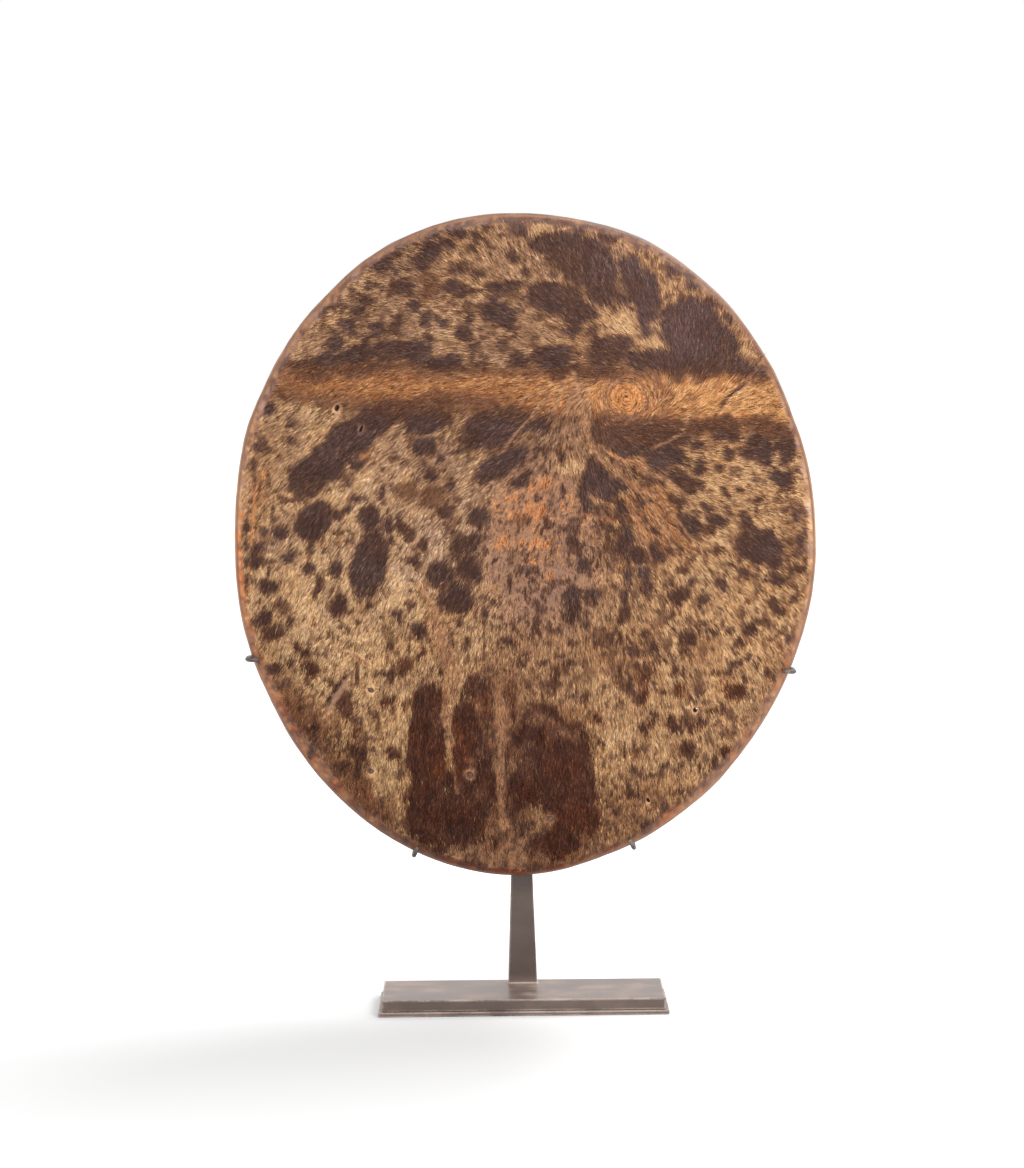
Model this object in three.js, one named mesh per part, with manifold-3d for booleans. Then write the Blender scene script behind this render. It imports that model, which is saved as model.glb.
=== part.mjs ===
// A domed hide shield held upright by a dark steel stand with four bent rods.
// Millimetres, +Z up. The shield faces -Y and the origin is the middle of the foot's underside.

import * as THREE from 'three';
import { mergeVertices } from 'three/addons/utils/BufferGeometryUtils.js';
import Module from 'manifold-3d';

const wasm = await Module();
wasm.setup();

// Foot: a thin plate with a slightly smaller, thicker plate lying on it
const footPlate = { width: 250, depth: 94, thickness: 4, chamfer: 0.5 };
const footBlock = { width: 244, depth: 88, thickness: 10, chamfer: 1 };

// Post: a flat bar that tapers from the foot to the side rods
const post = { footWidth: 25, topWidth: 6, thickness: 10, behindCentre: 31, aboveRods: 8 };

// Hide: one sheet of rawhide, worked into a dome with its rim turned back
const hide = {
  thickness: 5,
  aboveFoot: 97,
  behindCentre: 8,
  hubAcross: -4.3,
  reachLeft: 243.3,
  reachRight: 262.6,
  reachTop: 290,
  reachBottom: 286,
};

// How square each quarter of the outline is: 2 is an ellipse, more is fuller
const fullness = { topRight: 2.1, topLeft: 2.07, bottomLeft: 1.94, bottomRight: 1.88 };

// Places where the dried rim stands out or draws in: bearing and spread in degrees
const rimWaves = [
  { bearing: 27, rise: -1.9, spread: 7 },
  { bearing: 40, rise: -1.3, spread: 5 },
  { bearing: 67, rise: 1.9, spread: 8 },
  { bearing: 125, rise: -1.4, spread: 6 },
  { bearing: 156, rise: 2.1, spread: 8 },
  { bearing: 180, rise: -1.1, spread: 8 },
  { bearing: 212, rise: -1, spread: 8 },
  { bearing: 285, rise: -1.2, spread: 6 },
  { bearing: 310, rise: 0.8, spread: 5 },
];

// Dome, low boss and lip of the hide
const dome = { depth: 46, power: 2.3, saddle: 2.5, saddleBearing: 35 };
const boss = { height: 8, across: 28, up: 22, radius: 62 };
const lip = { width: 8, startSlope: 20, turnedBack: 14 };

// Rods of the stand: round bar with one elbow and a hook round the rim
// Slope is how far the hook climbs for each millimetre outwards
const rod = { radius: 2, hookBend: 6, elbowBend: 14, elbowInset: 28, tipInset: 7 };
const sideRods = [
  { name: 'side_hook_left', side: -1, bearing: 202.2, gap: 1.8, slope: 0.02 },
  { name: 'side_hook_right', side: 1, bearing: 335.7, gap: 0.8, slope: -0.1 },
];
const lowerRods = [
  { name: 'lower_hook_left', side: -1, bearing: 251.4, gap: 0.1, slope: -2.4 },
  { name: 'lower_hook_right', side: 1, bearing: 291.3, gap: 0.1, slope: -2 },
];
const lowerRootRise = 36;

// Holes worked through the hide: place on the hide, half sizes and turn in degrees
const openHoles = [
  { across: -154.6, up: 521.7, halfWide: 2.2, halfHigh: 2.9, turn: 20 },
  { across: -134, up: 503.8, halfWide: 1.3, halfHigh: 3.5, turn: 25 },
  { across: 150.2, up: 258.5, halfWide: 2, halfHigh: 2.2, turn: 0 },
  { across: 109.6, up: 179.3, halfWide: 1.4, halfHigh: 2.7, turn: -30 },
];

// Holes that still hold the cut-off end of a thong, knotted behind the hide
const thongHoles = [
  { name: 'thong_stub_1', across: -128.5, up: 279.4, halfWide: 3, halfHigh: 2.1, turn: 15 },
  { name: 'thong_stub_2', across: -130, up: 207.2, halfWide: 2.8, halfHigh: 2.2, turn: -10 },
  { name: 'thong_stub_3', across: -44.3, up: 204.8, halfWide: 2.7, halfHigh: 2.6, turn: 40 },
  { name: 'thong_stub_4', across: 24.5, up: 164.4, halfWide: 3, halfHigh: 2.2, turn: 5 },
];
// Cut round and knot flare are shares of the shank's own half width
const thong = { proud: 1.1, cutRound: 0.3, knotFlare: 1.65, knotLength: 4 };

// Clearances
const touchGap = 0.3;
const thongGap = 0.35;

// Fineness of the faceted shapes
const fine = { around: 72, frontRings: 11, lipSteps: 4, rodSides: 8, bendSteps: 5, holeSides: 10 };

const quarterTurn = Math.PI / 2;
const fullTurn = Math.PI * 2;
const footTop = footPlate.thickness + footBlock.thickness;
const hub = {
  x: hide.hubAcross,
  y: hide.behindCentre,
  z: footTop + hide.aboveFoot + hide.reachBottom,
};

// Outline of the hide

function bearingDistance(a, b) {
  const turn = Math.abs(a - b) % fullTurn;
  return Math.min(turn, fullTurn - turn);
}

function wave(bearing) {
  return rimWaves.reduce((sum, one) => {
    const away = bearingDistance(bearing, THREE.MathUtils.degToRad(one.bearing));
    const share = away / THREE.MathUtils.degToRad(one.spread);
    return sum + one.rise * Math.exp(-share * share);
  }, 0);
}

function reachAt(bearing) {
  const across = Math.cos(bearing);
  const up = Math.sin(bearing);
  const right = across >= 0;
  const top = up >= 0;
  const halfWidth = right ? hide.reachRight : hide.reachLeft;
  const halfHeight = top ? hide.reachTop : hide.reachBottom;
  const rightPower = top ? fullness.topRight : fullness.bottomRight;
  const leftPower = top ? fullness.topLeft : fullness.bottomLeft;
  const power = right ? rightPower : leftPower;
  const sum = Math.abs(across / halfWidth) ** power + Math.abs(up / halfHeight) ** power;
  return sum ** (-1 / power) + wave(bearing);
}

// Depth of the hide: the front face's Y at a share of the way to the lip

const meanReach = (hide.reachLeft + hide.reachRight + hide.reachTop + hide.reachBottom) / 4;
const plainReach = meanReach - lip.width;
const lipSlope = THREE.MathUtils.degToRad(lip.startSlope);
const lipRadius = lip.width / (1 - Math.sin(lipSlope));
const lipCentre = { inset: lipRadius, y: lipRadius * Math.cos(lipSlope) };

function domeFront(share) {
  return -dome.depth * (1 - share ** dome.power);
}

function domeSlope(share) {
  return Math.atan((dome.depth * dome.power * share ** (dome.power - 1)) / plainReach);
}

function shapeShift(across, up, share, bearing) {
  const away = Math.hypot(across - boss.across, up - boss.up) / boss.radius;
  const twist = 2 * (bearing - THREE.MathUtils.degToRad(dome.saddleBearing));
  return dome.saddle * Math.min(share, 1) ** 2 * Math.cos(twist) - boss.height * Math.exp(-away * away);
}

// The half section from the middle of the front, round the lip, to the middle of the back
function hideSection() {
  const points = [];
  for (let ring = 0; ring <= fine.frontRings; ring += 1) {
    const share = ring / fine.frontRings;
    points.push(new THREE.Vector2(share * plainReach, domeFront(share)));
  }
  for (let step = 1; step <= fine.lipSteps; step += 1) {
    const angle = THREE.MathUtils.lerp(lipSlope, quarterTurn, step / fine.lipSteps);
    const inset = lipCentre.inset - lipRadius * Math.sin(angle);
    points.push(new THREE.Vector2(meanReach - inset, lipCentre.y - lipRadius * Math.cos(angle)));
  }
  const edgeRound = hide.thickness / 4;
  points.push(new THREE.Vector2(meanReach, lip.turnedBack - edgeRound));
  points.push(new THREE.Vector2(meanReach - edgeRound, lip.turnedBack));
  points.push(new THREE.Vector2(meanReach - hide.thickness + edgeRound, lip.turnedBack));
  points.push(new THREE.Vector2(meanReach - hide.thickness, lip.turnedBack - edgeRound));
  const innerRadius = lipRadius - hide.thickness;
  for (let step = fine.lipSteps; step >= 1; step -= 1) {
    const angle = THREE.MathUtils.lerp(lipSlope, quarterTurn, step / fine.lipSteps);
    const inset = lipCentre.inset - innerRadius * Math.sin(angle);
    points.push(new THREE.Vector2(meanReach - inset, lipCentre.y - innerRadius * Math.cos(angle)));
  }
  for (let ring = fine.frontRings - 1; ring >= 0; ring -= 1) {
    const share = ring / fine.frontRings;
    const slope = domeSlope(share);
    const radius = share * plainReach - hide.thickness * Math.sin(slope);
    const y = domeFront(share) + hide.thickness * Math.cos(slope);
    points.push(new THREE.Vector2(Math.max(radius, 0), y));
  }
  return points;
}

// Distance from the hub on the real outline for a distance on the mean one
function spread(radius, bearing) {
  const reach = reachAt(bearing);
  if (radius > plainReach) {
    return reach - (meanReach - radius);
  }
  return (radius / plainReach) * (reach - lip.width);
}

function warpToHide(geometry) {
  const place = geometry.getAttribute('position');
  for (let index = 0; index < place.count; index += 1) {
    const radius = Math.hypot(place.getX(index), place.getZ(index));
    const bearing = Math.atan2(place.getZ(index), place.getX(index));
    const far = spread(radius, bearing);
    const across = far * Math.cos(bearing);
    const up = far * Math.sin(bearing);
    const shift = shapeShift(across, up, radius / plainReach, bearing);
    place.setXYZ(index, hub.x + across, hub.y + place.getY(index) + shift, hub.z + up);
  }
}

// The front face's Y at a place on the hide, given in the stand's frame
function frontAt(x, z) {
  const across = x - hub.x;
  const up = z - hub.z;
  const bearing = Math.atan2(up, across);
  const share = Math.hypot(across, up) / (reachAt(bearing) - lip.width);
  return hub.y + domeFront(Math.min(share, 1)) + shapeShift(across, up, share, bearing);
}

// A turn that carries +Y onto the hide's inward normal, behind the front face
function hideTurn(x, z) {
  const step = 1;
  const alongX = (frontAt(x + step, z) - frontAt(x - step, z)) / (2 * step);
  const alongZ = (frontAt(x, z + step) - frontAt(x, z - step)) / (2 * step);
  const inward = new THREE.Vector3(-alongX, 1, -alongZ).normalize();
  return new THREE.Quaternion().setFromUnitVectors(new THREE.Vector3(0, 1, 0), inward);
}

// Boolean work

function toSolid(source) {
  const bare = source.clone();
  bare.deleteAttribute('normal');
  bare.deleteAttribute('uv');
  const merged = mergeVertices(bare, 1e-4);
  const corners = merged.getIndex().array;
  const kept = [];
  for (let at = 0; at < corners.length; at += 3) {
    const [a, b, c] = [corners[at], corners[at + 1], corners[at + 2]];
    if (a !== b && b !== c && c !== a) {
      kept.push(a, b, c);
    }
  }
  const vertProperties = new Float32Array(merged.getAttribute('position').array);
  const triVerts = new Uint32Array(kept);
  return new wasm.Manifold(new wasm.Mesh({ numProp: 3, vertProperties, triVerts }));
}

function toGeometry(solid) {
  const mesh = solid.getMesh();
  const geometry = new THREE.BufferGeometry();
  geometry.setAttribute('position', new THREE.BufferAttribute(mesh.vertProperties, 3));
  geometry.setIndex(new THREE.BufferAttribute(mesh.triVerts, 1));
  geometry.computeVertexNormals();
  return geometry;
}

// Materials

function finish(color, roughness, metalness) {
  return new THREE.MeshStandardMaterial({ color, roughness, metalness });
}

const steel = finish(0x6a5b53, 0.5, 0.7);
const rodSteel = finish(0x4c4038, 0.5, 0.7);
const hideFinish = finish(0x8a6a4a, 0.8, 0);
const rawhide = finish(0x6b4a38, 0.6, 0);

function named(name, geometry, material) {
  const mesh = new THREE.Mesh(geometry, material);
  mesh.name = name;
  return mesh;
}

// Foot and post

function footSlab(slab, underside) {
  const halfWidth = slab.width / 2 - slab.chamfer;
  const halfDepth = slab.depth / 2 - slab.chamfer;
  const outline = new THREE.Shape([
    new THREE.Vector2(-halfWidth, -halfDepth),
    new THREE.Vector2(halfWidth, -halfDepth),
    new THREE.Vector2(halfWidth, halfDepth),
    new THREE.Vector2(-halfWidth, halfDepth),
  ]);
  const geometry = new THREE.ExtrudeGeometry(outline, {
    depth: slab.thickness - 2 * slab.chamfer,
    bevelEnabled: true,
    bevelThickness: slab.chamfer,
    bevelSize: slab.chamfer,
    bevelSegments: 1,
  });
  geometry.translate(0, 0, underside + slab.chamfer);
  return geometry;
}

// The side rods meet the post level with each other, midway between their hooks
const sideRootHeight = sideRods.reduce((sum, one) => sum + rimPoint(one.bearing).z, 0) / sideRods.length;
const postTop = sideRootHeight + post.aboveRods;

function postHalfWidth(height) {
  const share = (height - footTop) / (postTop - footTop);
  return THREE.MathUtils.lerp(post.footWidth, post.topWidth, share) / 2;
}

function postBar() {
  const outline = new THREE.Shape([
    new THREE.Vector2(-post.footWidth / 2, footTop),
    new THREE.Vector2(post.footWidth / 2, footTop),
    new THREE.Vector2(post.topWidth / 2, postTop),
    new THREE.Vector2(-post.topWidth / 2, postTop),
  ]);
  const geometry = new THREE.ExtrudeGeometry(outline, { depth: post.thickness, bevelEnabled: false });
  geometry.rotateX(quarterTurn);
  geometry.translate(0, post.behindCentre + post.thickness / 2, 0);
  return geometry;
}

// Rods

function rimPoint(bearingDegrees) {
  const bearing = THREE.MathUtils.degToRad(bearingDegrees);
  const reach = reachAt(bearing);
  return { x: hub.x + reach * Math.cos(bearing), z: hub.z + reach * Math.sin(bearing) };
}

// A path whose own stations are the extrusion's steps, so straight runs take one step
class StationPath extends THREE.Curve {
  constructor(stations) {
    super();
    this.stations = stations;
  }

  at(u) {
    return Math.round(u * (this.stations.length - 1));
  }

  getPointAt(u) {
    return this.stations[this.at(u)].clone();
  }

  getTangentAt(u) {
    const index = this.at(u);
    const tangent = new THREE.Vector3();
    if (index > 0) {
      tangent.add(this.stations[index].clone().sub(this.stations[index - 1]).normalize());
    }
    if (index < this.stations.length - 1) {
      tangent.add(this.stations[index + 1].clone().sub(this.stations[index]).normalize());
    }
    return tangent.normalize();
  }
}

// Stations along a line of corners, each rounded off by its own bend
function bentStations(corners) {
  const stations = [corners[0].point.clone()];
  for (let index = 1; index < corners.length - 1; index += 1) {
    const here = corners[index].point;
    const back = corners[index - 1].point.clone().sub(here);
    const on = corners[index + 1].point.clone().sub(here);
    const opening = back.angleTo(on);
    const setback = corners[index].bend / Math.tan(opening / 2);
    back.setLength(setback);
    on.setLength(setback);
    const centre = back.clone().add(on).setLength(corners[index].bend / Math.sin(opening / 2));
    const from = back.clone().sub(centre);
    const axis = from.clone().cross(on.clone().sub(centre)).normalize();
    for (let step = 0; step <= fine.bendSteps; step += 1) {
      const turn = ((Math.PI - opening) * step) / fine.bendSteps;
      stations.push(from.clone().applyAxisAngle(axis, turn).add(centre).add(here));
    }
  }
  stations.push(corners[corners.length - 1].point.clone());
  return stations;
}

function roundBar(corners) {
  const section = new THREE.Shape();
  for (let side = 0; side < fine.rodSides; side += 1) {
    const angle = (fullTurn * (side + 0.5)) / fine.rodSides;
    const across = rod.radius * Math.cos(angle);
    const up = rod.radius * Math.sin(angle);
    if (side === 0) {
      section.moveTo(across, up);
    } else {
      section.lineTo(across, up);
    }
  }
  section.closePath();
  const stations = bentStations(corners);
  return new THREE.ExtrudeGeometry(section, {
    steps: stations.length - 1,
    bevelEnabled: false,
    extrudePath: new StationPath(stations),
  });
}

// Where a rod that heads for a point leaves the post, with its slanted end clear of the post's side
function rootPoint(side, height, heading) {
  const slant = Math.abs((heading.z - height) / heading.x);
  const taper = (postHalfWidth(footTop) - postHalfWidth(postTop)) / (postTop - footTop);
  const across = postHalfWidth(height) + touchGap + rod.radius * (slant + taper);
  return new THREE.Vector3(side * across, post.behindCentre, height);
}

// The rod's corners: root on the post, elbow, round behind the rim, and the tip over the front
function rodCorners(one, rootHeight, hasElbow) {
  const rim = rimPoint(one.bearing);
  const outward = new THREE.Vector3(one.side, 0, one.slope).normalize();
  const place = (out, y) => new THREE.Vector3(rim.x + out * outward.x, y, rim.z + out * outward.z);
  const around = rod.radius + one.gap;
  const lipStart = place(-lip.width, 0);
  const offTheHide = (rod.radius + touchGap) / Math.cos(lipSlope);
  const tipDepth = frontAt(lipStart.x, lipStart.z) - offTheHide;
  const bends = hasElbow
    ? [{ point: place(-rod.elbowInset, post.behindCentre), bend: rod.elbowBend }]
    : [];
  bends.push({ point: place(around, post.behindCentre), bend: rod.hookBend });
  bends.push({ point: place(around, tipDepth), bend: rod.hookBend });
  const tip = { point: place(-rod.tipInset, tipDepth) };
  const root = { point: rootPoint(one.side, rootHeight, bends[0].point) };
  return [root, ...bends, tip];
}

function sideRod(one) {
  return roundBar(rodCorners(one, sideRootHeight, false));
}

function lowerRod(one) {
  return roundBar(rodCorners(one, rimPoint(one.bearing).z + lowerRootRise, true));
}

// Holes and thongs

function atHide(geometry, hole) {
  geometry.rotateY(THREE.MathUtils.degToRad(hole.turn));
  geometry.applyQuaternion(hideTurn(hole.across, hole.up));
  geometry.translate(hole.across, frontAt(hole.across, hole.up), hole.up);
  return geometry;
}

function holeCutter(hole) {
  const length = 4 * hide.thickness;
  const cutter = new THREE.CylinderGeometry(1, 1, length, fine.holeSides);
  cutter.scale(hole.halfWide, 1, hole.halfHigh);
  return toSolid(atHide(cutter, hole));
}

// A shank through the hole, cut off proud of the front and swelling into a knot behind
function thongStub(hole) {
  const behind = hide.thickness + thongGap;
  const { cutRound, knotFlare } = thong;
  const section = [
    new THREE.Vector2(0, -thong.proud),
    new THREE.Vector2(1 - cutRound, -thong.proud),
    new THREE.Vector2(1, -thong.proud / 2),
    new THREE.Vector2(1, behind),
    new THREE.Vector2(knotFlare, behind + thong.knotLength / 4),
    new THREE.Vector2(knotFlare, behind + (thong.knotLength * 3) / 4),
    new THREE.Vector2(1, behind + thong.knotLength),
    new THREE.Vector2(0, behind + thong.knotLength),
  ];
  const geometry = new THREE.LatheGeometry(section, fine.holeSides);
  geometry.scale(hole.halfWide - thongGap, 1, hole.halfHigh - thongGap);
  return atHide(geometry, hole);
}

function hideBody() {
  const shell = new THREE.LatheGeometry(hideSection(), fine.around);
  warpToHide(shell);
  let solid = toSolid(shell);
  for (const hole of [...openHoles, ...thongHoles]) {
    solid = solid.subtract(holeCutter(hole));
  }
  return toGeometry(solid);
}

// The whole object

const shieldOnStand = new THREE.Group();

const stand = new THREE.Group();
stand.add(named('foot_plate', footSlab(footPlate, 0), steel));
stand.add(named('foot_block', footSlab(footBlock, footPlate.thickness), steel));
stand.add(named('post', postBar(), steel));
sideRods.forEach((one) => stand.add(named(one.name, sideRod(one), rodSteel)));
lowerRods.forEach((one) => stand.add(named(one.name, lowerRod(one), rodSteel)));
shieldOnStand.add(stand);

const shield = new THREE.Group();
shield.add(named('shield', hideBody(), hideFinish));
thongHoles.forEach((hole) => shield.add(named(hole.name, thongStub(hole), rawhide)));
shieldOnStand.add(shield);

export default shieldOnStand;
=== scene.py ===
"""A domed hide shield with its hair left on, held upright by a dark steel stand.

Metres, +Z up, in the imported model's frame: the shield's hairy front faces -Y and the
origin is the middle of the foot's underside. Marks on the hide are placed by the pixel
at which the picture shows them, and PictureView turns places on the hide into pixels.
"""

import logging
import math
from dataclasses import dataclass
from enum import Enum

import bmesh
import bpy
import numpy as np
from bpy.types import ColorRamp, ID, Light, Material, Mesh, Node, NodeSocket, Object
from mathutils import Matrix, Vector


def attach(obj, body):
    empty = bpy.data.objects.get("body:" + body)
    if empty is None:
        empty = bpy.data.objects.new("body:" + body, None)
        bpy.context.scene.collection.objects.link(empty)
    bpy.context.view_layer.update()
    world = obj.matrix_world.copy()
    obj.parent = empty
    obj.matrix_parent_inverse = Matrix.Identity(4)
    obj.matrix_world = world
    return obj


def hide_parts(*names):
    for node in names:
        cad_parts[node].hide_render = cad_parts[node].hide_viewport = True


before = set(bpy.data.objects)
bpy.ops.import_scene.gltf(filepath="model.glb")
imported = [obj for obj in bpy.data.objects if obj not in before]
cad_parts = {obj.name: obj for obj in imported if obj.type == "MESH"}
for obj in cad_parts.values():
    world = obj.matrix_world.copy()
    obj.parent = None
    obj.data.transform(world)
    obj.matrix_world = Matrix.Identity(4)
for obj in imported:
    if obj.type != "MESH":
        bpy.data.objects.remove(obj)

LOG = logging.getLogger("hide_shield")
BODY = "root"
FULL_TURN = 2 * math.pi

Array = np.ndarray
BMesh = bmesh.types.BMesh
# Pixel columns and rows of a set of places
Pixels = tuple[Array, Array]


# The view and the hide's form


@dataclass(frozen=True)
class PictureView:
    """The picture's camera, and the pixel at which it shows a point of the object."""

    place: tuple[float, float, float] = (-0.0256, -3.0208, 0.6206)
    yaw: float = math.radians(0.364)
    pitch: float = math.radians(4.778)
    roll: float = math.radians(-0.55)
    focal_pixels: float = 3515.6
    wide: int = 1024
    high: int = 1168
    sensor: float = 36.0
    nearest: float = 0.05
    farthest: float = 50.0

    def axes(self) -> tuple[Vector, Vector, Vector]:
        """Return the camera's right, up and forward directions."""
        level = math.cos(self.pitch)
        ahead, aside = math.cos(self.yaw) * level, math.sin(self.yaw) * level
        forward = Vector((aside, ahead, -math.sin(self.pitch)))
        flat_right = Vector((math.cos(self.yaw), -math.sin(self.yaw), 0))
        flat_up = flat_right.cross(forward)
        right = flat_right * math.cos(self.roll) + flat_up * math.sin(self.roll)
        return right, right.cross(forward), forward

    def pixels(self, points: Array) -> Pixels:
        """Return where points show.

        Args:
            points: One row of x, y and z a point.

        Returns:
            The points' pixel columns and pixel rows.
        """
        right, up, forward = (np.array(axis) for axis in self.axes())
        away = points - np.array(self.place)
        depth = away @ forward
        across = self.wide / 2 + self.focal_pixels * (away @ right) / depth
        down = self.high / 2 - self.focal_pixels * (away @ up) / depth
        return across, down

    def make_camera(self) -> None:
        """Make the scene's camera, set up as the picture's."""
        lens = bpy.data.cameras.new("picture_camera")
        lens.sensor_width = self.sensor
        lens.lens = self.focal_pixels / max(self.wide, self.high) * self.sensor
        lens.clip_start = self.nearest
        lens.clip_end = self.farthest
        camera = in_scene("picture_camera", lens)
        right, up, forward = self.axes()
        turn = Matrix((right, up, -forward)).transposed().to_4x4()
        camera.matrix_world = Matrix.Translation(self.place) @ turn
        bpy.context.scene.camera = camera


@dataclass(frozen=True)
class HideForm:
    """The worked hide: its outline, dome, boss and turned-back lip, as the solid has them."""

    thickness: float = 0.005
    hub: tuple[float, float, float] = (-0.0043, 0.008, 0.397)
    reach_left: float = 0.2433
    reach_right: float = 0.2626
    reach_top: float = 0.290
    reach_bottom: float = 0.286
    fullness: tuple[float, float, float, float] = (2.1, 2.07, 1.94, 1.88)
    rim_waves: tuple[tuple[float, float, float], ...] = (
        (27, -0.0019, 7),
        (40, -0.0013, 5),
        (67, 0.0019, 8),
        (125, -0.0014, 6),
        (156, 0.0021, 8),
        (180, -0.0011, 8),
        (212, -0.001, 8),
        (285, -0.0012, 6),
        (310, 0.0008, 5),
    )
    dome_depth: float = 0.046
    dome_power: float = 2.3
    saddle: float = 0.0025
    saddle_bearing: float = math.radians(35)
    boss_height: float = 0.008
    boss_across: float = 0.028
    boss_up: float = 0.022
    boss_radius: float = 0.062
    lip_width: float = 0.008
    lip_slope: float = math.radians(20)
    turned_back: float = 0.014

    @property
    def mean_reach(self) -> float:
        """Return the mean distance from the hub to the rim."""
        return (self.reach_left + self.reach_right + self.reach_top + self.reach_bottom) / 4

    @property
    def plain_reach(self) -> float:
        """Return the mean distance from the hub to the start of the lip."""
        return self.mean_reach - self.lip_width

    @property
    def lip_radius(self) -> float:
        """Return the radius of the lip's bend on its outer side."""
        return self.lip_width / (1 - math.sin(self.lip_slope))

    def reach(self, bearing: Array) -> Array:
        """Return the distance from the hub to the rim.

        Args:
            bearing: Directions from the hub, from +X towards +Z, in radians.

        Returns:
            The distances in metres.
        """
        across, up = np.cos(bearing), np.sin(bearing)
        half_width = np.where(across >= 0, self.reach_right, self.reach_left)
        half_height = np.where(up >= 0, self.reach_top, self.reach_bottom)
        top_right, top_left, bottom_left, bottom_right = self.fullness
        top = np.where(across >= 0, top_right, top_left)
        bottom = np.where(across >= 0, bottom_right, bottom_left)
        power = np.where(up >= 0, top, bottom)
        total = np.abs(across / half_width) ** power + np.abs(up / half_height) ** power
        result = total ** (-1 / power)
        for centre, rise, spread in self.rim_waves:
            turn = np.abs(bearing - math.radians(centre)) % FULL_TURN
            away = np.minimum(turn, FULL_TURN - turn) / math.radians(spread)
            result = result + rise * np.exp(-away * away)
        return result

    def dome(self, share: Array) -> Array:
        """Return the plain dome's y at shares of the way to the lip."""
        return -self.dome_depth * (1 - np.minimum(share, 1) ** self.dome_power)

    def shift(self, across: Array, up: Array, share: Array) -> Array:
        """Return the saddle's and the boss's share of y.

        Args:
            across: Distances to the right of the hub.
            up: Distances above the hub.
            share: Shares of the way to the lip.

        Returns:
            The shifts in y, which the back of the hide follows too.
        """
        bearing = np.arctan2(up, across)
        away = np.hypot(across - self.boss_across, up - self.boss_up) / self.boss_radius
        twist = 2 * (bearing - self.saddle_bearing)
        saddle = self.saddle * np.minimum(share, 1) ** 2 * np.cos(twist)
        return saddle - self.boss_height * np.exp(-away * away)

    def front(self, x: Array, z: Array) -> Array:
        """Return the front face's y at places of the object's frame."""
        across, up = x - self.hub[0], z - self.hub[2]
        share = np.hypot(across, up) / (self.reach(np.arctan2(up, across)) - self.lip_width)
        return self.hub[1] + self.dome(share) + self.shift(across, up, share)

    def on_front(self, x: Array, z: Array) -> Array:
        """Return places on the front face as rows of x, y and z."""
        return np.stack([x, self.front(x, z), z], axis=1)

    def polar(self, x: Array, z: Array) -> tuple[Array, Array]:
        """Return places' bearings from the hub, and how far inside the rim they lie."""
        across, up = x - self.hub[0], z - self.hub[2]
        bearing = np.arctan2(up, across)
        return bearing, self.reach(bearing) - np.hypot(across, up)

    def outward(self, x: Array, z: Array) -> Array:
        """Return unit vectors that stand on the front face at places of it."""
        step = 0.001
        along_x = (self.front(x + step, z) - self.front(x - step, z)) / (2 * step)
        along_z = (self.front(x, z + step) - self.front(x, z - step)) / (2 * step)
        normal = np.stack([along_x, -np.ones_like(along_x), along_z], axis=1)
        return normal / np.linalg.norm(normal, axis=1, keepdims=True)

    def spread(self, radius: Array, bearing: Array) -> Array:
        """Return the distance from the hub on the real outline for one on the mean outline."""
        reach = self.reach(bearing)
        inner = radius / self.plain_reach * (reach - self.lip_width)
        return np.where(radius > self.plain_reach, reach - (self.mean_reach - radius), inner)

    def rim_point(self, degrees: float) -> tuple[float, float]:
        """Return the rim's x and z at a bearing in degrees."""
        bearing = math.radians(degrees)
        reach = float(self.reach(np.array(bearing)))
        return self.hub[0] + reach * math.cos(bearing), self.hub[2] + reach * math.sin(bearing)

    def onto(self, x: float, z: float) -> Matrix:
        """Return the matrix that carries the origin's +Y onto the hide's inward normal."""
        inward = Vector(-self.outward(np.array([x]), np.array([z]))[0])
        turn = Vector((0, 1, 0)).rotation_difference(inward).to_matrix().to_4x4()
        return Matrix.Translation((x, float(self.front(np.array(x), np.array(z))), z)) @ turn


@dataclass(frozen=True)
class ValueNoise:
    """Smooth seeded noise on a plane, from -1 to 1.

    A reader adds a number of cells of its own to x or y, so that no two readings are alike.
    """

    seed: int
    cells: int = 128

    def at(self, x: Array, y: Array) -> Array:
        """Return the noise at places given in cells."""
        lattice = np.random.default_rng(self.seed).uniform(-1, 1, (self.cells, self.cells))
        left, low = np.floor(x), np.floor(y)
        ease_x, ease_y = ((v * v * (3 - 2 * v)) for v in (x - left, y - low))
        i, j = left.astype(int) % self.cells, low.astype(int) % self.cells
        i2, j2 = (i + 1) % self.cells, (j + 1) % self.cells
        bottom = lattice[i, j] * (1 - ease_x) + lattice[i2, j] * ease_x
        top = lattice[i, j2] * (1 - ease_x) + lattice[i2, j2] * ease_x
        return bottom * (1 - ease_y) + top * ease_y

    def rough(self, x: Array, y: Array, octaves: int = 3) -> Array:
        """Return several sizes of the noise added up, each half as strong as the one before."""
        total = np.zeros_like(x, dtype=float)
        for octave in range(octaves):
            scale = 2**octave
            total += self.at(x * scale + 17 * octave, y * scale + 31 * octave) / scale
        return total / (2 - 2 ** (1 - octaves))


def ease(value: Array, start: float, end: float) -> Array:
    """Return 0 before start, 1 past end and a smooth rise between, or a fall if end is less."""
    share = np.clip((value - start) / (end - start), 0, 1)
    return share * share * (3 - 2 * share)


# The hide's markings, placed by pixel


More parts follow.
